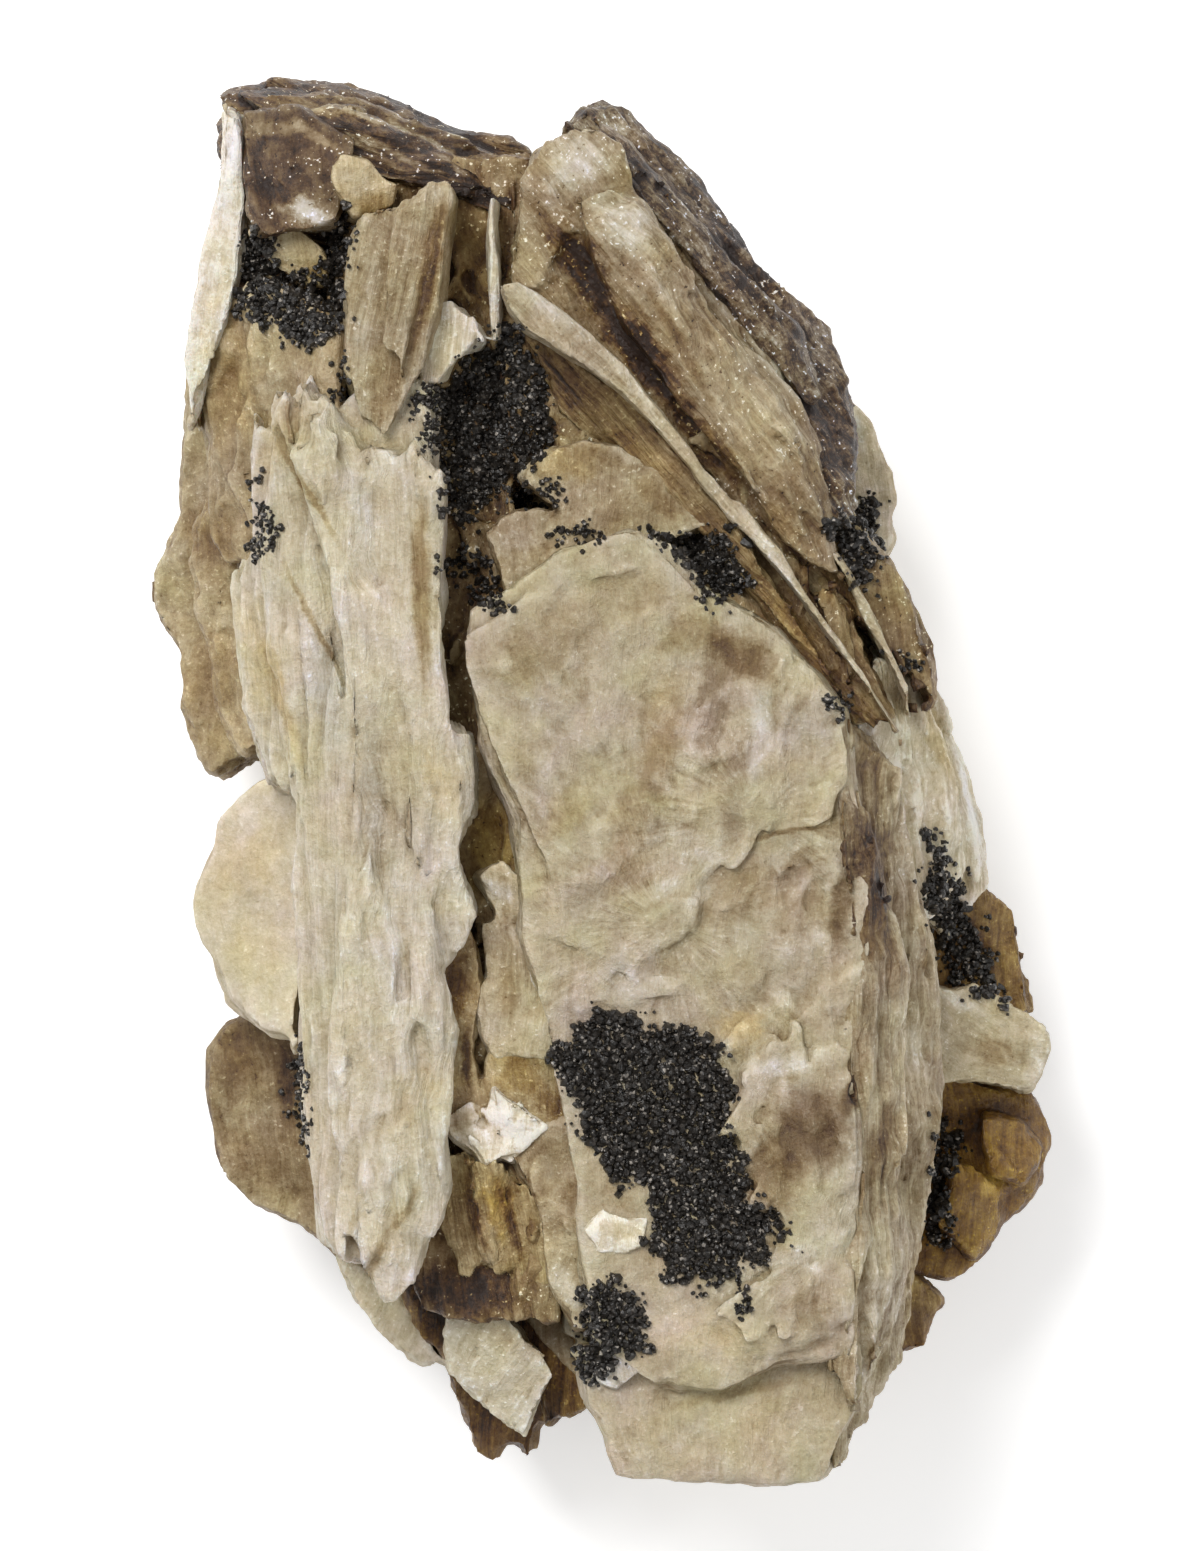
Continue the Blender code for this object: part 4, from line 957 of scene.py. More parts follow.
def left_leaves():
    """The three rounded leaves that spread from under the left slab."""
    lobed = [
        (-31.5, -1), (-33.5, 3.5), (-35, 10), (-36.5, 13.2), (-36.2, 16), (-34, 21), (-33.2, 28),
        (-32.1, 36), (-31, 42), (-25, 44), (-22, 30), (-22, 4),
    ]
    upper = [
        (-29.6, 2), (-31.6, 7), (-33.8, 13), (-33, 20), (-30.8, 27), (-31, 33), (-24, 34), (-24, 4),
    ]
    shoulder = [
        (-30.6, 18), (-32, 25), (-32.4, 32), (-31, 38.4), (-27, 40), (-22, 38), (-22, 20), (-26, 17),
    ]
    pale = [
        (-22, 1), (-27, 0.2), (-30.2, -3), (-31, -6), (-32.2, -10.2), (-31, -14.5),
        (-29.6, -17.8), (-26, -20.4), (-22, -21),
    ]
    brown = [
        (-21, -18.5), (-28.3, -18.8), (-30.5, -19.7), (-31.8, -22), (-32, -25), (-31.8, -28),
        (-30.9, -31.3), (-28.5, -34.3), (-24.5, -36.5), (-20, -39.6),
    ]
    turn = (0, -25, 0)
    rock("lobed_leaf", [
        *book("lobed_leaf", lobed, (7.2, 0.1, 0), (19.0, 0.5, 0.03), 3, 0.1, (2.5, 0)),
        slab("lobed_leaf_upper", upper, (14.0, 0.4, 0), (24.5, 0.85, 0.05), foot=1.05),
        slab("lobed_leaf_shoulder", shoulder, (18.0, 0.4, 0), (31.0, 1.0, 0.06), foot=1.05),
    ], mica(
        "olive leaf", 0.54, 0.26, turn, fibres=0.15, warm=0.5,
        patches=(
            (-31, 19, 4, 2.6, 100, -0.14, 0.8), (-29.5, 31, 6, 2.6, 80, -0.04, 1.0),
            (-31.5, 8, 5, 3, 70, -0.08, 0.9), (-34, 14, 3, 1.6, 90, 0.08, 0.3),
            (-29, 4, 4, 3, 60, 0.08, 0.6), (-26.6, 21.4, 4, 1.2, 90, -0.1, -0.6),
            (-29, 12, 3, 2, 60, 0.08, 0.0), (-26.5, 35, 3.4, 1.6, 60, 0.1, 0.2),
        ),
        plumes=((-36, 12, 14, 6, 0.12),),
    ), turn, scales=(
        ([(-37, 14), (-31, 42), (-24, 42), (-24, 0), (-33, 0)], 46, 75, (3, 9, 1.6, 4.0, 0.7, 1.2), 30, 4),
    ), sheets=1.1, lumps=1.8, grit=0.4)
    turn = (0, -18, 0)
    rock("pale_leaf", book("pale_leaf", pale, (8.6, 0.1, 0), (26.6, 0.55, 0.04), 3, 0.1, (3.0, 0)), mica(
        "pale leaf", 0.75, 0.16, turn, fibres=0.05, relief=0.6, grain=0.3, sparkle=0.1,
        patches=((-28.5, -7, 4, 3, 0, -0.03, 0.7), (-27.6, -14, 3, 3, 0, 0.0, 0.5),
                 (-25, -4, 5, 1.2, 95, -0.05, -0.3)),
    ), turn, soften=5, sheets=0.6, lumps=1.1, grit=0.2)
    turn = (0, -14, 0)
    rock("round_leaf", [
        *book("round_leaf", brown, (9.2, 0.0, -0.05), (17.4, 0.25, -0.08), 2, 0.1, (2.0, 0)),
    ], mica(
        "brown leaf", 0.39, 0.26, turn, (0.5, 7, 3), fibres=0.25, warm=0.3,
        patches=((-29, -22, 4, 1.6, 60, -0.1, 0.3), (-25.2, -25, 5, 1.0, 88, -0.24, -0.2),
                 (-28.6, -27.5, 4, 1.4, 70, 0.12, 0.0), (-25.6, -34.5, 4, 1.6, -35, 0.16, 0.1)),
        plumes=((-25, -31, 11, 6, 0.14),),
    ), turn, soften=4, sheets=0.7, lumps=1.1, grit=0.25)


def top_left_block():
    """Curved strata at the top left, seen edge on, with the block and the sheet beside them."""
    outer = [
        (-30.5, 54.8), (-28, 55.4), (-25, 56.3), (-20, 56), (-16, 54.3), (-12, 52.2), (-7.5, 51.2),
        (-5, 49.5), (-7, 45.5), (-10, 47.6), (-16, 50.4), (-22, 53), (-29, 53),
    ]
    inner = [
        (-29.4, 53.6), (-22, 54), (-14, 51.4), (-7.4, 48.6), (-6.4, 43.6), (-12, 45.5),
        (-16.4, 47), (-20, 49), (-25, 50.4),
    ]
    shelf = [(-29.8, 53.4), (-19, 49), (-11, 47), (-13, 30), (-22, 27), (-30.2, 33), (-29.6, 44)]
    block = [(-29.2, 52.8), (-24, 53.2), (-20, 50.8), (-20.6, 47), (-21.4, 43.6), (-28, 42.6), (-29.4, 46)]
    sheet = [
        (-30.2, 53), (-29.0, 52.4), (-28.2, 45), (-28.8, 39.4), (-30.0, 34.4), (-32.8, 27.6),
        (-33.0, 32), (-32.0, 40), (-30.9, 46),
    ]
    lump = [
        (-21.8, 47.0), (-20.6, 49.0), (-18.6, 48.6), (-17.2, 47.0), (-16.0, 46.8), (-16.4, 44.6),
        (-20, 43.6)
    ]
    pale = [(-28, 43.6), (-24.6, 44.0), (-21.6, 41.4), (-21.2, 38.4), (-23.6, 38.6), (-26, 41)]
    turn = (-62, 0, -14)
    rock("strata", [
        *book("strata_outer", outer, (7.4, 0, 0.2), (25.0, -0.05, -0.6), 3, 0.06, (1.0, -2.5)),
        slab("strata_inner", inner, (10.2, 0, 0.1), (30.6, -0.12, -0.5)),
        slab("strata_crest", moved(inner, 0.86, -1.0), (20, 0, 0), (32.4, -0.1, -0.35)),
        *book("top_shelf", shelf, (6.6, 0.1, 0.05), (29.6, 0.06, 0.0), 4, 0.06, (1.5, -1.0)),
    ], mica(
        "dark strata", 0.14, 0.46, turn, (5.0, 5.0, 0.6), fibres=0.7, sparkle=0.9, lines=1.2, side=-0.02,
        warm=-0.5,
        patches=(
            (-29.4, 52, 3.4, 1.4, 80, 0.16, 1.2), (-25.6, 54.4, 4, 1.0, 10, 0.0, 1.2),
            (-20, 52.4, 5, 0.8, -22, 0.06, 0.8), (-12, 48.4, 6, 2.6, -26, -0.18, -0.2),
            (-8.6, 47.4, 3, 2, -40, -0.12, -0.4), (-8, 50.6, 3, 0.7, -28, 0.1, 0.9),
            (-27, 33, 5, 3, 80, 0.16, 0.9), (-23, 53.2, 4, 0.5, -12, 0.24, 0.0),
            (-17, 51.6, 6, 0.4, -22, 0.34, -0.6), (-13, 50.1, 5, 0.35, -28, 0.34, -0.6),
            (-21.5, 51, 4, 0.3, -20, 0.3, -0.4),
            (-10.5, 47.6, 4, 0.35, -32, 0.3, -0.5), (-15, 48.6, 5, 0.35, -24, 0.28, -0.5),
            (-12, 51.4, 3, 0.3, -26, 0.3, -0.4),
        ),
    ), turn, scales=(
        ([(-30, 55), (-24, 56), (-5, 50), (-8, 44), (-24, 50)], 60, -20, (4, 12, 0.8, 1.8, 0.7, 1.3), 7, 5),
        ([(-31, 46), (-22, 40), (-22, 28), (-31, 30)], 24, 80, (3, 8, 1.0, 2.4, 0.7, 1.2), 20, 5),
    ), sheets=1.5, lumps=1.0, grit=0.4)
    turn = (-30, 20, 0)
    rock("dark_block", [slab("dark_block", block, (11.6, 0, 0), (34.2, 0.25, -0.25), (1.0, -1.0))], mica(
        "dark block", 0.21, 0.4, turn, fibres=0.2, sparkle=0.9, lines=0.5, side=0.0, warm=-0.5,
        patches=((-23.2, 44.6, 2.8, 1.4, -18, 0.5, -0.8), (-26, 51.6, 4, 0.7, 4, 0.24, 0.2),
                 (-22.6, 51, 3, 0.5, -30, 0.25, 0.3), (-25, 46.6, 3, 1.4, 0, -0.06, 0.6)),
    ), turn, soften=5, sheets=0.9, lumps=0.8, grit=0.3)
    rock("pale_corner", [slab("pale_corner", pale, (20, 0, 0), (32.6, 0.1, 0.3))], mica(
        "greenish corner", 0.66, 0.2, warm=0.6, patches=((-22.6, 40, 1.6, 1, 60, -0.16, 1.0),),
    ), voxel=0.35, sheets=0.5, lumps=0.6, grit=0.2)
    turn = (0, 60, -8)
    rock("pale_sheet", [
        slab("pale_sheet", sheet, (12.6, 0.3, 0), (31.2, 0.3, 0.02), (1.6, 0), foot=1.05),
    ], mica(
        "greenish sheet", 0.92, 0.14, turn, (0.3, 12, 4), fibres=0.25, lines=0.2, side=0.0,
        patches=((-31, 36, 5, 0.8, 75, 0.02, 0.7), (-29.4, 48, 5, 0.8, 85, 0.06, -0.5)),
    ), turn, voxel=0.3, sheets=0.5, lumps=0.5, grit=0.2, fibres=0.7)
    rock("nub", [slab("nub", lump, (20.0, 0, 0), (36.8, -0.1, 0.1))], mica(
        "yellow nub", 0.60, 0.2, warm=0.8,
        patches=((-19, 46.4, 2.4, 1.2, -40, 0.1, -0.4), (-18, 45, 1.6, 1.2, 0, -0.2, 1.2)),
    ), voxel=0.3, soften=7, sheets=0.3, lumps=1.0, grit=0.2)


def column():
    """The upright tan book beside the black crust, and the pieces in the gap to its right."""
    whole = [
        (-19.6, 42.6), (-18.6, 44.6), (-16.6, 44.4), (-14.6, 45.4), (-13.4, 46.6), (-11.6, 46.8),
        (-11.2, 45.2),
        (-12, 40), (-12.6, 36), (-14, 32.4), (-15.6, 28.6), (-17.2, 26.9), (-18.8, 28), (-20.3, 31.6),
        (-20.1, 36),
    ]
    rib = [
        (-15.6, 44.2), (-13.4, 45.8), (-12.6, 44.6), (-13, 40), (-14.2, 34.6), (-15.4, 31), (-16, 34),
    ]
    thin = [(-8.7, 45.6), (-8.1, 45.6), (-7.9, 40), (-8.1, 34.6), (-8.6, 34.4), (-8.6, 40)]
    patch = [(-12.6, 38), (-10, 36.5), (-8.8, 34.5), (-11, 33.2), (-12, 31.5), (-14.2, 30.6), (-14.4, 33)]
    turn = (0, 80, -9)
    rock("column", [
        slab("column", whole, (24.0, 0, 0), (40.2, 0.12, 0.04), foot=1.04),
        slab("column_rib", rib, (30.0, 0, 0), (41.2, -0.15, 0.03)),
    ], mica(
        "tan column", 0.52, 0.14, turn, (2.0, 14, 0.3), fibres=0.2, lines=0.36, side=0.0, warm=0.1,
        patches=((-13.4, 40, 8, 0.9, 80, -0.26, 1.2), (-18.4, 36, 8, 1.0, 84, 0.1, -0.3),
                 (-17.2, 30, 3, 1.6, 80, -0.1, 0.6), (-12.4, 45.8, 1.4, 1, 0, 0.2, -0.4)),
    ), turn, voxel=0.3, soften=2, sheets=0.35, lumps=0.5, grit=0.2, fibres=0.4)
    turn = (0, 75, -8)
    rock("gap_pieces", [
        slab("thin_sheet", thin, (21.0, 0, 0), (37.0, 0, 0.1), (0.4, -0.3)),
        slab("patch", patch, (22.0, 0, 0), (38.0, 0.1, 0.05)),
    ], mica("pale patch", 0.82, 0.22, turn, side=0.0), turn, voxel=0.25, soften=2,
        sheets=0.3, lumps=0.5, grit=0.2)


def blade():
    """The thin blade that crosses from upper left to lower right, and a shorter one beside it."""
    band = [
        (-7.8, 38.4), (-6.4, 38.8), (-4.4, 37.4), (-1, 34.4), (2, 31.6), (5, 27.8), (8, 23.9),
        (9.6, 22.2), (10.8, 21),
        (14, 16.9), (18, 11.1), (22.4, 5.2), (24, 2.2), (23.4, 2.4), (17.6, 10.4), (13.5, 16.1),
        (10.2, 19.9), (8.8, 21.8), (7.3, 23.4), (4.2, 27), (0.8, 30.2), (-2.8, 32.8), (-5.8, 34.6),
        (-7.2, 36.4),
    ]
    second = [(18.2, 17.6), (18.9, 17.7), (21.4, 12.4), (24.2, 6.6), (24.6, 4.2), (23.8, 5.6), (20.6, 11.8)]
    side = [
        (-7, 36.5), (-4, 34.6), (1, 30.6), (6, 25.6), (11, 19.6), (17, 11.6), (22.5, 3.6), (20.5, 4.4),
        (14, 11.6), (9, 18.6), (5, 22.6), (0, 26), (-3.4, 28.6), (-5.4, 33),
    ]
    olive = [(9, 22), (12, 21.6), (18.6, 17), (21, 12), (24.4, 5), (23, 3.4), (17, 11), (12, 17.4)]
    turn = (0, 62, 42)
    rock("blade", [
        slab("blade", band, (31.0, 0, 0), (RIDGE_TOP - 3.6, -0.26, 0.0), foot=0.99),
        slab("second_blade", second, (20.6, 0, 0), (33.4, -0.2, 0.1)),
    ], mica(
        "pale blade", 0.58, 0.2, turn, (0.3, 12, 3), fibres=0.35, lines=0.35, side=0.02,
        patches=((-3.6, 36.4, 4, 1.2, -35, 0.14, -0.4), (3, 30.6, 4, 0.5, -50, 0.18, -0.3),
                 (13.6, 17, 6, 0.5, -54, 0.2, -0.2), (6.4, 24.4, 5, 0.6, -52, -0.1, 0.6),
                 (20, 8.6, 5, 0.5, -54, 0.1, 0.2)),
    ), turn, voxel=0.27, soften=2, sheets=0.3, lumps=0.4, grit=0.12, fibres=0.4, ledges=0.4)
    rock("blade_side", [
        slab("blade_side", side, (22, 0, 0), (36.2, 0.42, 0.4)),
        slab("olive_sheet", olive, (20, 0, 0), (32.6, -0.3, -0.3)),
    ], mica(
        "brown blade side", 0.35, 0.3, turn, (0.35, 9, 3), fibres=0.45, side=0.0, warm=1.0,
        # The first patch, darker and greyer at (-2.6, 31), is painted shadow under the blade.
        patches=((-2.6, 31, 4, 1.6, -50, -0.2, -0.3), (4, 25.4, 4, 1.2, -40, 0.06, 0.7),
                 (15.4, 11.6, 6, 1.0, -52, 0.02, 1.4)),
    ), turn, voxel=0.35, scales=(
        ([(-8, 36), (20, 4), (8, 18), (-6, 28)], 30, -52, (4, 12, 0.6, 1.5, 0.6, 1.2), 6, 4),
    ), sheets=0.9, lumps=0.7, grit=0.3, fibres=0.8)


def upper_right_book():
    """The big book at the upper right: a pale lobe, a dark groove, a light slab and a dark rim."""
    lobe = [
        (-5.3, 50.1), (-6.5, 47), (-7, 42), (-6.8, 38.3), (-4.6, 38.8), (-3, 42.4), (-1.4, 44),
        (2, 44.6), (3, 46), (1.8, 50.2), (-0.6, 51.6), (-3, 51.4),
    ]
    groove = [
        (-6.4, 40.4), (-5.4, 37.2), (-2.4, 35.4), (1, 32), (5, 28), (9, 23.6), (16, 14), (19, 14), (12, 24.6),
        (7, 29.6), (3, 35), (0, 40), (-1.6, 45),
    ]
    light = [
        (-1.6, 45.4), (1, 46.4), (3.8, 45.2), (6.4, 40.4), (8.6, 36.4), (12.6, 33.0), (15.6, 29.6),
        (17.2, 26), (18, 21), (19, 16), (16, 17), (12, 22.6), (8, 27), (5, 30.6), (1.6, 35.4), (-0.4, 40.4),
    ]
    ribs = [
        [(-0.6, 44.6), (2.6, 45), (5.4, 40), (8, 35), (12, 31), (13.6, 27.6), (11.6, 26.8), (6, 32), (1, 39)],
        [(6, 38), (9.4, 34.6), (13.6, 30.4), (16, 25.6), (15, 23.4), (12, 28), (8, 33)],
    ]
    band = [
        (-3, 51.4), (-1, 53.3), (0.8, 53.7), (2.2, 53), (5, 50.2), (7.5, 48.2), (10, 44.7), (11.9, 41.8),
        (14, 39.1), (18, 36.5), (19.7, 31.8), (20.4, 28), (20, 20), (15, 22), (16, 28), (12, 34),
        (7, 40), (3, 46), (-1, 49),
    ]
    dark_rib = [
        (0, 52), (3, 50), (6.4, 46), (10, 41.4), (12.6, 38), (16, 35), (17.6, 30), (16.4, 29), (12, 34.6),
        (8, 39.6), (4, 45), (0.4, 49.6),
    ]
    core = [
        (-5, 48), (0, 50.6), (5, 47), (10, 40), (15, 34), (17, 25), (12, 25), (5, 32), (-2, 38), (-5.6, 41),
    ]
    turn = (0, 60, 40)
    rock("upper_right_rim", [
        *book("dark_band", band, (8.4, 0.05, 0.1), (29.4, -0.82, -0.62), 3, 0.05, (-2, -2)),
        slab("dark_rib", dark_rib, (16.0, 0, 0), (32.4, -0.6, -0.4)),
    ], mica(
        "dark grey rim", 0.11, 0.7, turn, (0.5, 8, 3), fibres=0.7, lines=0.5, side=0.0, warm=-2.0, grain=0.85,
        sparkle=0.9,
        patches=(
            (-0.6, 51.4, 4, 2, 10, 0.3, 0.6), (3, 50.6, 3, 1.4, -40, 0.12, 0.8),
            # A painted glint: the pale dot at (11.4, 41.4).
            (11.4, 41.4, 1.4, 1, 0, 0.3, 0),
            (14.6, 38.2, 5, 1.0, -30, 0.1, 1.4), (19.6, 31, 4, 0.8, -80, 0.0, 1.2),
            (18, 24, 5, 2, -80, 0.1, 1.6),
            (9, 40, 6, 0.8, -54, 0.24, 0.6), (14, 34.4, 5, 0.8, -56, 0.2, 0.4),
        ),
    ), turn, voxel=0.34, scales=(
        ([(0, 54), (14, 39), (20, 31), (20, 20), (14, 30), (2, 46)], 60, -50,
         (2, 7, 0.6, 1.5, 0.5, 1.0), 10, 6),
    ), soften=2, sheets=0.8, lumps=0.8, grit=0.5, fibres=0.6)
    rock("upper_right_book", [
        *book("west_lobe", lobe, (9.4, 0.1, 0.1), (36.4, 0.0, -0.1), 3, 0.06, (0.5, -2.0)),
        slab("groove", groove, (20.0, 0, 0), (34.6, -0.22, -0.03)),
        slab("light_slab", light, (13.2, 0, 0), (37.0, -0.38, -0.1), foot=1.03),
        *row("light_rib", ribs, (24.0, 0, 0), ((38.2, -0.3, -0.08), (35.6, -0.5, -0.1))),
        slab("book_core", core, (14.0, 0, 0), (33.4, -0.3, -0.2)),
    ], mica(
        "diagonal book", 0.42, 0.26, turn, (0.3, 14, 3), fibres=0.42, sparkle=0.6, lines=0.4, side=0.0,
        patches=(
            (-1.6, 48.4, 4, 2.6, 30, 0.32, -0.5), (-5, 45.6, 4, 1.4, 80, -0.04, 0.4),
            (-5.6, 40.4, 3, 1.2, 95, 0.12, 0.4),
            (-1.8, 40.6, 4.6, 1.8, -60, -0.42, 2.4), (2.6, 34, 6.2, 1.9, -54, -0.44, 2.6),
            (8, 26.6, 6, 1.5, -52, -0.32, 1.8), (1.6, 43.6, 4, 2.4, -30, 0.28, -0.5),
            (4.6, 38.4, 5, 2.2, -56, 0.16, 0.0),
            (9.4, 31.4, 6, 2.4, -54, 0.1, 0.2), (14, 26.6, 5, 2.6, -60, 0.16, 0.4),
            (6.4, 33.6, 7, 0.6, -55, -0.16, 0.6),
            (8.6, 38.6, 4, 0.8, -54, 0.2, -0.6), (13.4, 33.4, 5, 1.0, -56, 0.2, -0.5),
            (15, 19, 5, 1.6, -50, -0.06, 0.9), (19, 25, 5, 1.2, -80, -0.12, 0.3),
        ),
    ), turn, scales=(
        ([(-6, 50), (2, 53), (14, 38), (20, 30), (20, 14), (8, 24), (-6, 38)], 130, -54,
         (8, 24, 1.0, 2.6, 0.4, 0.8), 5, 2),
    ), soften=3, sheets=0.5, lumps=0.8, grit=0.3, fibres=0.6)


def right_leaves():
    """Leaves that stick out on the right, below the upper book."""
    lobes = [
        (18, 31.4), (20.5, 30), (22, 28), (22.7, 26), (24, 24.2), (24.2, 22), (23.5, 21),
        (24.1, 19), (23.2, 17), (20, 15.4), (17, 21),
    ]
    tail = [(16, 22), (20, 20), (22, 17.2), (21.8, 15.4), (22.8, 12.2), (22.2, 11.2), (20, 9), (15, 16)]
    upper = [
        (22, 10.6), (24.5, 9.8), (26, 8.8), (27, 7.4), (28.2, 4.6), (30, -1), (30.8, -4),
        (31.3, -9.6), (28, -14), (23, -10), (20, 4),
    ]
    brown = [
        (26, -8), (31.6, -9.4), (33.6, -10.7), (34.3, -13), (34.6, -15.5), (35.6, -19.4), (31, -22),
        (24, -20),
    ]
    cap = [
        (25, -16.6), (28.2, -17.5), (30, -17), (34.5, -19.7), (36, -20.7), (36.5, -22.4), (36, -24.2),
        (35, -26.6), (28.5, -25), (25, -25),
    ]
    lump = [
        (24, -23.6), (30, -24.2), (34.9, -26), (36.3, -29.6), (35.8, -32.5), (34.4, -34.6), (32, -37),
        (30, -40), (28.6, -41), (25, -40),
    ]
    knobs = [
        [(30, -27), (34, -28), (35.4, -30), (33.6, -33), (30.6, -31.6)],
        [(28, -31), (31.6, -33.4), (32, -36), (29.6, -38.6), (27, -36)],
    ]
    sliver = [(22, -38), (25.2, -40), (27.5, -42.6), (26.5, -44), (26, -46), (24, -46.7), (21, -48)]
    rock("right_lobes", [
        *book("right_lobes", lobes, (8.2, -0.2, 0), (18.8, -0.3, 0.1), 2, 0.08, (-1.0, 0)),
        *book("tail", tail, (5.6, 0, 0), (24.6, -0.5, 0.1), 3, 0.08, (-1.0, 0)),
    ], mica(
        "lobed flakes", 0.74, 0.26, warm=0.3,
        patches=((22.2, 21.5, 5, 0.8, -70, 0.12, 0.6), (20.4, 28, 3, 0.8, -70, 0.2, -0.4),
                 (20, 14, 4, 2, -60, -0.3, 0.2)),
    ), sheets=0.8, lumps=0.9, grit=0.3)
    turn = (0, 55, 12)
    rock("upper_leaf", [
        *book("upper_leaf", upper, (7.0, -0.1, 0), (21.0, -0.7, 0.02), 3, 0.06, (-2.0, 0)),
        slab("upper_leaf_step", moved(upper, 0.86, -2.0, (-1.2, 0.2)), (15, 0, 0), (26.4, -1.0, 0.05)),
    ], mica(
        "upper leaf", 0.84, 0.26, turn, (0.4, 8, 3), fibres=0.4, lines=0.4, side=0.0, warm=0.2,
        patches=((27, 3, 5, 0.9, 110, -0.12, 1.3), (29.6, -2, 6, 0.7, 100, 0.16, -0.4),
                 (24, 6, 3, 1, -50, -0.24, -0.3), (25, -2, 5, 1.2, 110, 0.1, 0.0)),
    ), turn, scales=(
        ([(21, 10), (27, 8), (31, -8), (23, -10)], 26, 108, (3, 9, 0.8, 1.8, 0.7, 1.2), 8, 4),
    ), sheets=0.8, lumps=0.7, grit=0.25, fibres=0.5)
    turn = (0, 30, 10)
    rock("right_brown", [
        *book("brown_leaf", brown, (6.4, -0.1, 0.1), (15.6, -0.4, 0.05), 2, 0.1, (-1.5, 0)),
        slab("sliver", sliver, (6.6, 0.1, 0.1), (19.8, -0.6, 0.1)),
    ], mica(
        "right brown", 0.31, 0.3, turn, warm=2.8, fibres=0.4,
        patches=((24.6, -43, 4, 0.6, 70, 0.2, 0.3), (31, -14, 4, 1, -60, -0.16, 0.2)),
    ), turn, sheets=0.8, lumps=0.7, grit=0.3, fibres=0.5)
    turn = (0, 20, -24)
    rock("cap_leaf", [slab("cap_leaf", cap, (13.6, -0.2, 0), (21.4, -0.35, 0.12), foot=0.94)], mica(
        "pale cap", 0.68, 0.24, turn, (4.0, 0.5, 3), fibres=0.25, warm=0.2,
        patches=((29.5, -18.4, 5, 0.8, -20, 0.12, -0.2), (32, -22.4, 3.4, 1.4, -10, -0.14, 0.4),
                 (35, -22, 2, 1, 90, 0.12, -0.2)),
    ), turn, sheets=1.0, lumps=1.0, grit=0.35)
    turn = (0, 12, 0)
    rock("amber_lump", [
        *book("amber_lump", lump, (6.4, -0.1, 0.05), (16.0, -0.3, -0.05), 2, 0.1, (-1.5, 0)),
        *row("amber_knob", knobs, (12, 0, 0), ((18.0, -0.5, -0.2), (18.4, -0.6, 0.1))),
    ], mica(
        "amber lump", 0.25, 0.4, turn, warm=4.2, rough=0.34,
        patches=((33.4, -29.4, 2.6, 1.2, -20, 0.12, 0.3), (31.5, -33, 1.6, 1, 40, 0.3, -0.2),
                 (28.6, -36, 3, 1.4, 70, -0.08, 0.4), (30, -28, 2.4, 1, 0, -0.1, 0.2)),
    ), turn, soften=6, sheets=0.5, lumps=2.2, grit=0.5)


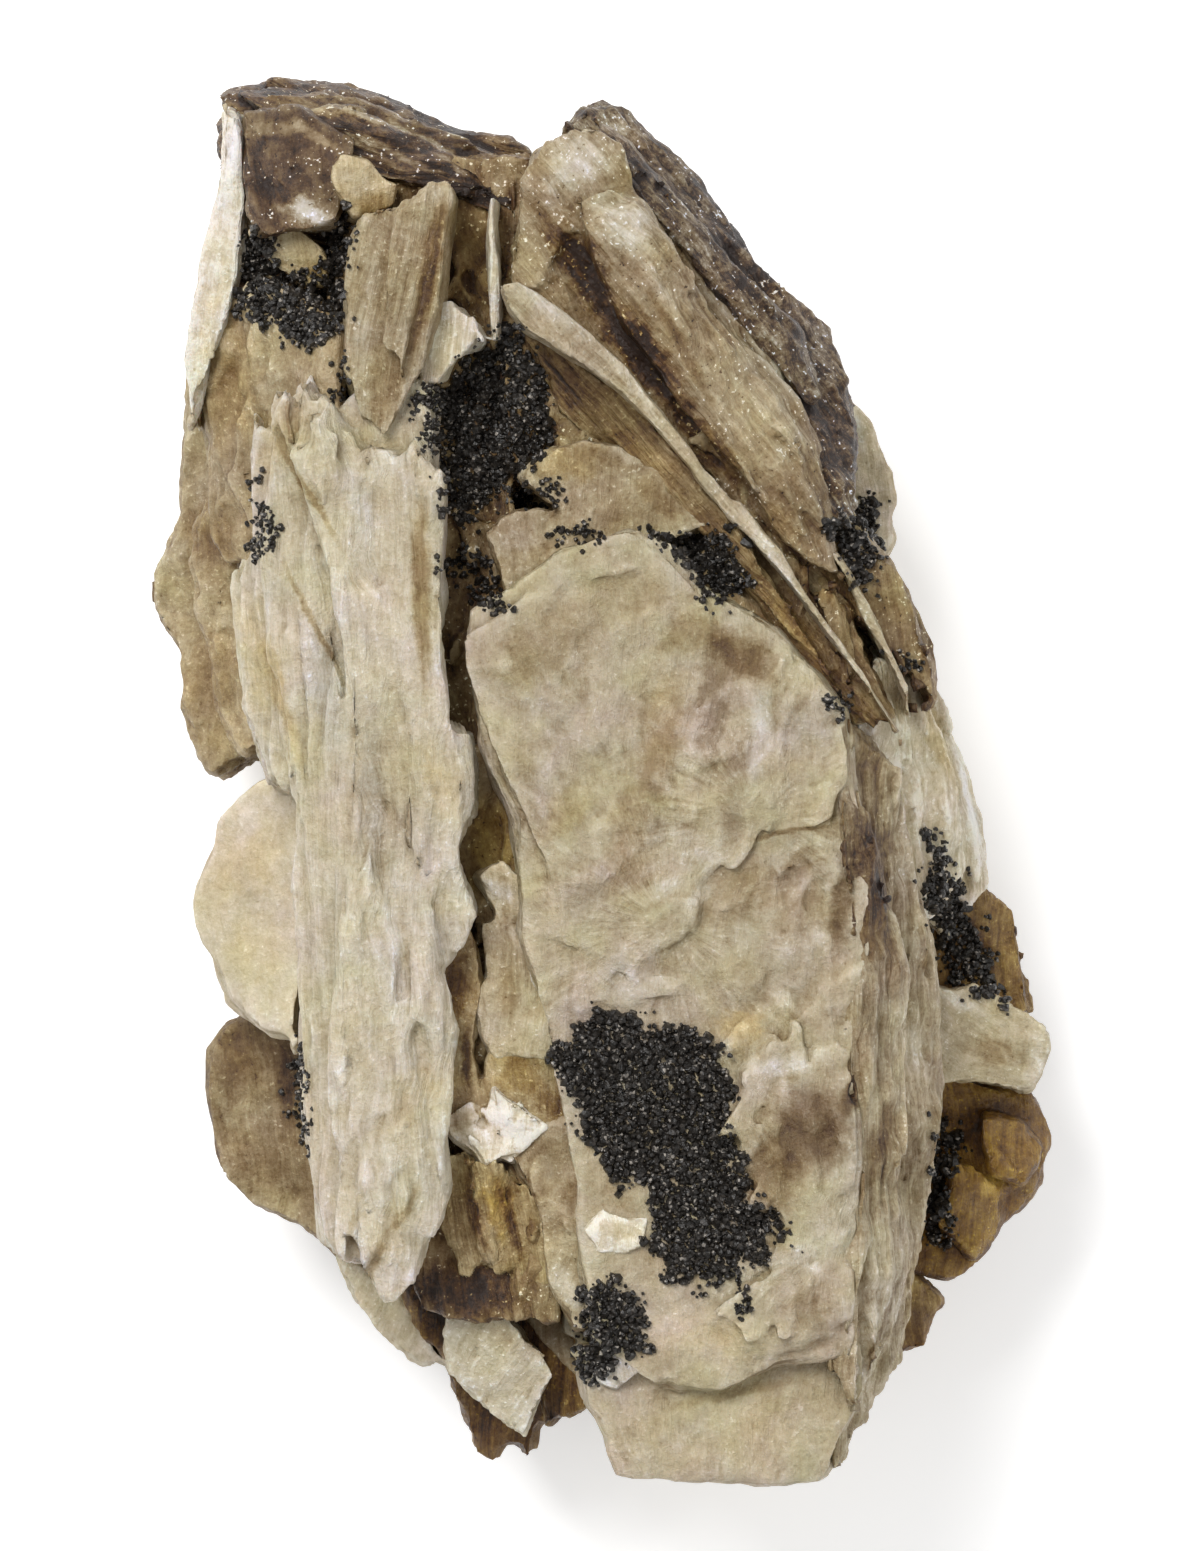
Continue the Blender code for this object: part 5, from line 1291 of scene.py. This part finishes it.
def shards():
    """Broken flakes between the two long books and under the blade."""
    upper = [
        (-6, 24.5), (-4, 26.3), (-1, 27.2), (2, 26.6), (6, 24.5), (7.8, 22.4), (9.6, 20.2), (4.8, 18.2),
        (0, 19), (-2.6, 21.8),
    ]
    small = [(-10, 18.2), (-8, 20), (-6, 20.6), (-3.4, 20.2), (-1.2, 18), (-4.4, 15.2), (-8.2, 12.6)]
    jagged = [
        (-8, -31.5), (-5, -29), (-1.8, -28.3), (0.4, -31), (2.4, -38), (1.4, -44), (-1.2, -44.6),
        (-2.6, -43.2), (-4.0, -40.6), (-5.0, -36),
    ]
    chip = [(-10.4, -8.2), (-8, -7.4), (-6.2, -8.6), (-6, -11.2), (-8.6, -11.6)]
    wedge = [
        (-10.3, -11.6), (-7, -11.4), (-5, -15.5), (-2.8, -21), (-4.6, -22.4), (-9, -22.6), (-10.8, -19),
        (-9.6, -15.4)
    ]
    blue = [(-6.6, -13.6), (-5.4, -15.6), (-2.8, -21), (-4.2, -20.8), (-6.4, -17)]
    amber = [(-9, -21.6), (-3.4, -20.8), (-1.6, -26), (-2.8, -29), (-6.5, -28.6), (-9.4, -26)]
    rusty = [
        (-13.4, -13.4), (-10.4, -12.4), (-9.6, -16), (-10.2, -22), (-9.2, -27), (-13.6, -27.4),
        (-13.8, -20)
    ]
    bright = [
        [(-13.4, -26.6), (-11, -25.2), (-8.8, -26.6), (-9.4, -28.6), (-10.8, -29.8), (-12.4, -28.2)],
        [
            (-9.2, -24), (-7.2, -25.4), (-4.4, -27.8), (-5.6, -29.2), (-7.4, -30.8), (-9.8, -29.6),
            (-8.8, -27.3)
        ],
        [(-1.7, -36.6), (-0.2, -34.8), (1.6, -35.4), (3.4, -35.2), (3.2, -37.8), (1.6, -38.8), (-0.6, -38.4)],
        [(-11.4, -28.4), (-8.6, -27.2), (-7.4, -29.6), (-9.8, -31.0)],
        [(-8.4, -25.2), (-6.4, -26.2), (-7.2, -28), (-8.8, -27.6)],
    ]
    pale_blue = [(1.0, -44.6), (3.6, -45.2), (4.0, -47.4), (1.6, -49.0), (-0.2, -48.0), (0.2, -46)]
    turn = (0, 10, 0)
    rock("pale_shards", [
        slab("upper_shard", upper, (24, 0, 0), (36.6, -0.1, -0.08), foot=1.04, cuts=3, ragged=7),
        slab("small_shard", small, (23, 0, 0), (36.8, 0.15, -0.1), foot=1.04, cuts=3, ragged=7),
        slab("jagged_piece", jagged, (22, 0, 0), (36.6, 0.14, 0.02), foot=1.04, cuts=3, ragged=7),
    ], mica(
        "pale shard", 0.56, 0.4, turn, fibres=0.2, warm=0.2,
        patches=((-2.4, 24.8, 3.4, 1.8, 10, -0.12, 1.3), (2.4, 25.4, 3, 0.9, -15, 0.16, -0.3),
                 (4.6, 22, 2.6, 1, -40, -0.12, 0.6), (-4.6, -33, 3, 1, -60, 0.06, 0.5),
                 (-1.6, -33.6, 2, 2, 0, -0.14, 0.4), (-2.4, -41, 3, 0.9, -60, 0.16, -0.4),
                 (-6.6, 18.4, 2.4, 1.4, 0, 0.06, -0.4)),
    ), turn, voxel=0.32, scales=(
        ([(-8, -29), (1, -29), (2, -44), (-3, -44), (-8, -32)], 8, 100, (2, 6, 1.0, 2.6, 0.5, 0.8), 20, 4),
    ), soften=4, sheets=0.5, lumps=1.2, lump=5, grit=0.4)
    rock("seam_chips", [
        slab("pink_chip", chip, (22, 0, 0), (36.6, 0.2, 0.15), cuts=3, ragged=7),
        slab("tan_wedge", wedge, (22, 0, 0), (36.6, 0.1, -0.05), cuts=3, ragged=7),
    ], mica(
        "seam chips", 0.64, 0.26, warm=0.2,
        patches=((-8.2, -9.4, 2, 1.4, 0, 0.14, -0.8), (-7.6, -17.4, 2.4, 1, 90, -0.1, 0.6)),
    ), voxel=0.3, soften=5, sheets=0.5, lumps=1.3, lump=3.5, grit=0.3)
    rock("amber_chip", [
        slab("amber_chip", amber, (22, 0, 0), (36.4, 0.15, 0.1), cuts=3, ragged=7),
        slab("rusty_chip", rusty, (24, 0, 0), (36.6, 0.05, 0.03), cuts=3, ragged=7),
    ], mica(
        "amber chip", 0.48, 0.3, warm=1.0, rough=0.3,
        patches=((-6.2, -23.6, 2.8, 1.6, -50, -0.12, 1.2), (-3.6, -26.2, 1.8, 1.4, -40, -0.3, 0.8),
                 (-8.4, -22.6, 1.6, 1.4, 0, 0.12, 0.0),
                 (-11.6, -17, 3.6, 1.5, 90, -0.26, 1.4), (-10.6, -22.6, 3, 0.5, 92, -0.4, 0.2),
                 (-12, -24.4, 2, 1.4, 0, 0.04, 0.6)),
    ), voxel=0.3, soften=5, sheets=0.4, lumps=1.2, lump=3.5, grit=0.25)
    rock("bluish_chips", [
        slab("blue_splinter", blue, (24, 0, 0), (36.4, 0.3, 0.0), cuts=3, ragged=7),
        slab("blue_scale", pale_blue, (30, 0, 0), (37.4, 0.1, 0.1), cuts=3, ragged=7),
    ], mica("bluish chip", 0.74, 0.3, warm=-1.3, rough=0.35), voxel=0.25, soften=2,
        sheets=0.4, lumps=0.8, lump=3, grit=0.2)
    rock("shiny_flakes", [
        slab("flake_0", bright[0], (22, 0, 0), (36.3, -0.3, 0.3), cuts=3, ragged=7),
        slab("flake_1", bright[1], (22, 0, 0), (36.6, 0.1, 0.32), cuts=3, ragged=7),
        slab("flake_2", bright[2], (30, 0, 0), (38.25, -0.06, 0.05), cuts=3, ragged=7),
        slab("flake_3", bright[3], (24, 0, 0), (36.5, -0.3, -0.4), cuts=3, ragged=7),
        slab("flake_4", bright[4], (24, 0, 0), (37.0, 0.5, -0.1), cuts=3, ragged=7),
    ], mica(
        # Near white: partly the flakes' own pale colour, partly a painted reflection.
        "shiny flake", 0.94, 0.3, rough=0.22, relief=0.6,
        patches=((-11.6, -27.2, 1.8, 1.2, 20, -0.34, 0.3), (-7, -28, 2, 1, -40, 0.14, -0.3),
                 (-10, -26, 2, 0.3, -60, -0.4, 0.5), (1.4, -35.4, 2.6, 0.8, 0, -0.16, 0.2)),
    ), voxel=0.25, scales=(
        ([(-13, -26), (-5, -27), (-5, -30), (-13, -30)], 12, -20, (1.6, 3.6, 0.9, 1.8, 0.3, 0.5), 50, 14),
    ), soften=1, sheets=0.9, lumps=0.5, lump=3, grit=0.2, ledges=0.8)


def bottom_books():
    """The broken lower end: a pale lobe and flake, brown spikes and amber rays."""
    flake = [(-21, -37.6), (-16, -40), (-12.4, -46.6), (-14, -47.3), (-17.3, -44.4), (-20.5, -39.6)]
    lobe = [
        (-11.9, -42.2), (-10.3, -41), (-7.6, -42.8), (-4.4, -46), (-3.5, -48), (-4.8, -50.6),
        (-5.7, -53), (-8.5, -51.5), (-12, -47.8),
    ]
    spikes = [
        (-12.6, -44), (-12, -48), (-10.6, -52), (-10, -54.3), (-9.1, -55.6), (-8.3, -55), (-7.2, -53.8),
        (-6, -55.4), (-5.2, -54.6), (-4.8, -52.6), (-2, -51), (-1, -46), (-4, -38),
    ]
    brown = [(-6, -41), (-1, -42), (0.4, -47), (-0.7, -50.5), (-2, -51), (-4, -52), (-4.6, -48)]
    rays = [
        [(-13.2, -29.6), (-10.2, -29.8), (-9.0, -38.6), (-10.8, -39.8), (-12.8, -36)],
        [(-10.4, -30), (-7, -30.4), (-6.0, -38.6), (-8.6, -39.6)],
        [(-7.4, -30.2), (-4.2, -33), (-3.2, -39.6), (-6, -40.6)],
    ]
    hollow = [
        (-17.4, -37), (-13, -33), (-10, -36), (-6, -39), (-2, -41), (-2, -46), (-11, -48),
        (-15.2, -44.4)
    ]
    turn = (14, -8, -20)
    rock("pale_lobe", [
        slab("pale_flake", flake, (11.0, 0, 0.1), (25.0, 0.3, 0.1)),
        *book("pale_lobe", lobe, (9.6, 0, -0.1), (30.6, 0.15, 0.25), 3, 0.08, (0, 1.5)),
    ], mica(
        "pale lobe", 0.75, 0.2, turn, (0.5, 6, 3), fibres=0.25, warm=-0.1,
        patches=((-8.6, -44, 3.4, 1.6, -40, -0.08, 0.2), (-5.4, -50.6, 2.4, 1.4, 60, 0.1, -0.4),
                 (-15.6, -43.6, 4, 1, -50, 0.06, 0.2)),
    ), turn, voxel=0.3, soften=4, sheets=0.7, lumps=0.9, grit=0.25, fibres=0.5)
    turn = (0, 60, -10)
    rock("brown_spikes", [
        *book("brown_spikes", spikes, (6.8, 0, 0), (17.0, 0.1, 0.2), 2, 0.1, (0, 2.0)),
        *book("smooth_brown", brown, (5.8, 0, 0), (28.4, 0.3, 0.2), 3, 0.06, (0, 1.0)),
        slab("hollow", hollow, (12, 0, 0), (27.6, 0.1, 0.1)),
    ], mica(
        "brown spikes", 0.27, 0.26, turn, (0.4, 8, 3), fibres=0.35, warm=2.6,
        patches=((-2.8, -45.6, 4, 2, 60, 0.06, 0.4), (-13.2, -40.4, 5, 2.6, -70, -0.44, 1.6),
                 (-9, -41, 5, 2.6, -14, -0.24, 0.5),
                 (-8.8, -53, 3, 1, 100, -0.04, 0.8)),
    ), turn, soften=3, sheets=0.8, lumps=0.7, grit=0.25, fibres=0.7)
    turn = (0, 70, 8)
    tops = ((34.6, 0.2, 0.2), (35.4, -0.3, 0.24), (34.8, 0.3, 0.2))
    rock("amber_rays", row("ray", rays, (20, 0, 0), tops), mica(
        "amber rays", 0.54, 0.3, turn, (0.4, 9, 3), fibres=0.5, lines=0.5, side=0.0, warm=1.4,
        patches=((-9.6, -35, 5, 0.5, 100, -0.36, 0.2), (-6.6, -36, 5, 0.5, 105, -0.3, 0.2),
                 (-8, -34.4, 3.6, 1.4, 100, -0.02, 2.0), (-11.8, -35, 5, 1.6, 88, -0.14, 0.2),
                 (-5.6, -33, 3, 0.6, 100, 0.16, 0.2)),
    ), turn, voxel=0.32, sheets=0.9, lumps=0.5, grit=0.2, fibres=0.9, ledges=1.6)


# ---------------------------------------------------------------- the black crusts


CRUSTS = {
    "black_crust_upper_left": [
        (-28, 43), (-26.8, 42.8), (-25.2, 40.6), (-23.4, 39.4), (-21.6, 41), (-21.4, 44.8), (-20, 44.5),
        (-19.6, 41), (-20.3, 38), (-20.4, 34.4), (-24, 34.4), (-27.6, 36), (-29, 38), (-28, 38.6),
    ],
    "black_crust_middle": [
        (-8, 36), (-6.5, 36), (-6, 34), (-4.5, 31.5), (-3.8, 29), (-3.5, 27), (-4.3, 26), (-7, 24), (-8, 23),
        (-9.5, 22), (-10, 20), (-12.5, 21), (-12, 27), (-14, 30), (-11, 31.5), (-10.8, 33), (-9, 33.6),
    ],
    "black_crust_below_blade": [
        (4.6, 18.4), (6.4, 19.4), (9, 19.3), (10, 19.5), (11.3, 16.5), (12, 15), (10, 13.3),
        (8.5, 14.3), (6, 17.2),
    ],
    "black_crust_right_edge": [
        (18, 19.8), (20, 21), (22.5, 22.5), (22, 18.5), (21.8, 15.6), (20.5, 15), (19, 17.5),
    ],
    "black_crust_large": [
        (-4.2, -21.5), (-2, -20.4), (0, -18), (1.4, -19.2), (3, -18.8), (4, -20.2), (6.5, -20), (7.8, -19.8),
        (9.5, -21.5), (9.9, -23.4), (10.8, -24.7), (10, -26), (10.6, -29.3), (11.5, -31.5), (11.7, -33.5),
        (14.5, -34.5), (15.8, -36.8), (13.4, -35.8), (12.6, -37.4), (11, -39.2), (8.8, -40), (7, -38.5),
        (5.8, -40.3), (4.2, -37.5), (4, -32.5), (2.5, -31.5), (1.8, -33.3), (0, -30), (-1.8, -27),
        (-2.5, -25),
    ],
    "black_crust_bottom": [
        (-1.7, -41), (-0.5, -40), (1.5, -39.8), (3.8, -42), (4, -45.5), (1, -45.5), (1.0, -47), (-0.5, -48.5),
        (-1.4, -47), (-1.5, -44.5),
    ],
    "black_crust_right_band": [
        (26, -4), (27, -5.5), (28.2, -7), (30.3, -12), (33, -19), (29, -17), (27.5, -15), (26, -9),
    ],
    "black_crust_lower_right": [
        (27.5, -27.5), (29.5, -28.5), (28, -34), (27.5, -38.5), (26, -38), (26.5, -31),
    ],
}

SMALL_CRUSTS = [
    [(-13, 15.5), (-12.3, 17.3), (-10.5, 18.2), (-9, 17.8), (-8.8, 16.5)],
    [(-10, 14), (-9, 16.4), (-7.4, 14.6), (-7, 12.6), (-9, 12.6)],
    [(-7.6, 22.6), (-6, 23.5), (-4.8, 20.6), (-7.8, 21.2)],
    [(-5, 23.4), (-4, 23.6), (-2.7, 21.3), (-4, 21.6)],
    [(-4.3, 18.8), (-1.5, 19.8), (0.3, 18.8), (-0.5, 17.9)],
    [(2.5, 20), (5, 19.6), (5, 18.8), (2.6, 19.2)],
    [(-27, 25.2), (-26.8, 23), (-28, 23.5)],
    [(-27.3, 22), (-26, 21), (-25.6, 19.5), (-25.7, 18), (-26.8, 17.2), (-27.8, 17.8)],
    [(18.5, 7), (20, 5.5), (19, 4.2), (18, 5.2)],
    [(23, 10), (24.5, 9.8), (25.8, 8.7), (24.5, 8)],
    [(-24.2, -20.3), (-23.3, -21), (-23.1, -28), (-23.6, -30.5), (-25, -26)],
    [(-20.8, 33), (-20, 33), (-20, 29.5), (-20.6, 29.5)],
    [(-14.6, 29.4), (-12.8, 31), (-11.8, 27), (-12.4, 25), (-13.4, 25.4), (-14.4, 27.4)],
    [(7.5, -40.3), (8.2, -40.3), (8.1, -41), (7.5, -41)],
    [(12, -37.6), (13, -37.8), (12.8, -39.2), (12, -39)],
    [(11.2, -39.6), (12, -40.2), (11.7, -42.8), (11, -42.4)],
]


def grain_shapes():
    """Four small flat-faced crystals, each a cut and tapered prism."""
    shapes = []
    for sides, taper, tip in ((4, 0.8, 0.5), (5, 0.62, 0.3), (6, 0.7, 0.45), (4, 0.55, 0.2)):
        bpy.ops.object.select_all(action="DESELECT")
        bpy.ops.mesh.primitive_circle_add(vertices=sides, radius=MM, fill_type="NGON")
        shape = bpy.context.object
        bpy.ops.object.mode_set(mode="EDIT")
        bpy.ops.mesh.select_all(action="SELECT")
        bpy.ops.mesh.extrude_region_move(TRANSFORM_OT_translate={"value": (0, 0, GRAIN_HEIGHT * MM)})
        bpy.ops.transform.resize(value=(taper, taper, 1), center_override=(0, 0, 0))
        to_tip = (GRAIN_LEAN * MM, 0, GRAIN_TIP * MM)
        bpy.ops.mesh.extrude_region_move(TRANSFORM_OT_translate={"value": to_tip})
        bpy.ops.transform.resize(value=(tip, tip, 1), center_override=(GRAIN_LEAN * MM, 0, 0))
        bpy.ops.mesh.select_all(action="SELECT")
        bpy.ops.mesh.normals_make_consistent(inside=False)
        bpy.ops.object.mode_set(mode="OBJECT")
        shapes.append(shape)
    return shapes


def gather(name, copies):
    """Joins copies as one piece, its place in its mesh."""
    obj = joined(name, copies)
    bpy.ops.object.transform_apply()
    return obj


def grains(outline, trees, shapes, rng, step, size, wander, rise):
    """Small crystals over a patch of the mica, a step apart; wander makes its rim ragged.

    rise is how far up a crystal may stand out, in its own sizes.
    """
    xs = [x for x, _ in outline]
    ys = [y for _, y in outline]
    batches = []
    copies = []
    y = min(ys) - 1
    while y < max(ys) + 1:
        x = min(xs) - 1
        while x < max(xs) + 1:
            spot = (x + rng.uniform(-step, step) * 0.6, y + rng.uniform(-step, step) * 0.6)
            x += step
            lobe = turbulence.noise_vector(Vector((spot[0] * 0.9, spot[1] * 0.9, 0.3))) * 1.1
            east = spot[0] + lobe.x + rng.gauss(0, wander)
            north = spot[1] + lobe.y + rng.gauss(0, wander)
            if not inside(outline, east, north):
                continue
            found = highest(trees, *spot)
            if found is None:
                continue
            at, normal = found
            big = size * rng.uniform(0.6, 1.4)
            lean = (normal + Vector((rng.gauss(0, 0.7), rng.gauss(0, 0.7), 0.4))).normalized()
            turn = lean.to_track_quat("Z", "Y").to_matrix().to_4x4()
            spin = Matrix.Rotation(rng.uniform(0, math.tau), 4, "Z")
            place = Matrix.Translation(at + normal * (rng.uniform(-0.6, rise) * big) * MM) @ turn @ spin
            copies.append(copy_at(rng.choice(shapes), place @ Matrix.Scale(big, 4)))
        y += step
        if copies and (len(copies) > BATCH or y >= max(ys) + 1):
            batches.append(joined("batch", copies))
            copies = []
    return batches


def crusts(pieces):
    """Hundreds of small crystals on each patch: large ones that cover it, then fine ones."""
    trees = [surface(piece) for piece in pieces]
    rng = random.Random(5)
    shapes = grain_shapes()
    black = black_crystal()
    for name, outline in CRUSTS.items():
        copies = grains(outline, trees, shapes, rng, step=0.42, size=0.36, wander=0.14, rise=0.0)
        copies += grains(outline, trees, shapes, rng, step=0.34, size=0.17, wander=0.42, rise=2.0)
        finished(gather(name + "_grains", copies), black, (name,))
    copies = []
    for outline in SMALL_CRUSTS:
        copies += grains(outline, trees, shapes, rng, step=0.32, size=0.22, wander=0.26, rise=0.6)
    finished(gather("small_crusts", copies), black, ())
    for shape in shapes:
        bpy.data.objects.remove(shape)


# ---------------------------------------------------------------- studio


def studio():
    """A plain pale floor, two soft lights and a camera straight above."""
    bpy.ops.object.select_all(action="DESELECT")
    bpy.ops.mesh.primitive_plane_add(size=FLOOR_SIZE, location=(0, 0, 0))
    floor = bpy.context.object
    floor.name = "floor"
    paper = bpy.data.materials.new("paper floor")
    paper.use_nodes = True
    paper.node_tree.nodes["Principled BSDF"].inputs["Base Color"].default_value = (0.96, 0.96, 0.96, 1)
    paper.node_tree.nodes["Principled BSDF"].inputs["Roughness"].default_value = 0.9
    paper.node_tree.nodes["Principled BSDF"].inputs["Emission Color"].default_value = (1, 1, 1, 1)
    paper.node_tree.nodes["Principled BSDF"].inputs["Emission Strength"].default_value = 0.3
    floor.data.materials.append(paper)

    world = bpy.data.worlds.new("studio")
    bpy.context.scene.world = world
    world.use_nodes = True
    world.node_tree.nodes["Background"].inputs["Color"].default_value = (1, 1, 1, 1)
    world.node_tree.nodes["Background"].inputs["Strength"].default_value = 0.5

    for name, place, size, power in (
        ("key light", (-0.34, 0.46, 0.85), 0.42, 8.6),
        ("fill light", (0.55, -0.3, 0.8), 0.9, 2.4),
    ):
        data = bpy.data.lights.new(name, "AREA")
        data.size = size
        data.energy = power
        lamp = bpy.data.objects.new(name, data)
        lamp.location = place
        lamp.rotation_euler = (-Vector(place)).to_track_quat("-Z", "Y").to_euler()
        bpy.context.scene.collection.objects.link(lamp)

    data = bpy.data.cameras.new("camera")
    data.lens = LENS
    data.sensor_width = SENSOR
    view = bpy.data.objects.new("camera", data)
    view.location = (0, 0, CAMERA_HEIGHT)
    bpy.context.scene.collection.objects.link(view)
    bpy.context.scene.camera = view
    bpy.context.scene.view_settings.view_transform = "Standard"


def main():
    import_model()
    makers = (
        back_books, gaps, main_book, right_flank, left_slab, left_leaves, top_left_block, column, blade,
        upper_right_book, right_leaves, shards, bottom_books,
    )
    for maker in makers:
        maker()
    pieces = [obj for obj in bpy.data.objects if obj.type == "MESH" and obj.data.materials
              and obj.name not in CRUSTS and not obj.name.startswith("mica_cluster")]
    crusts(pieces)
    studio()


main()
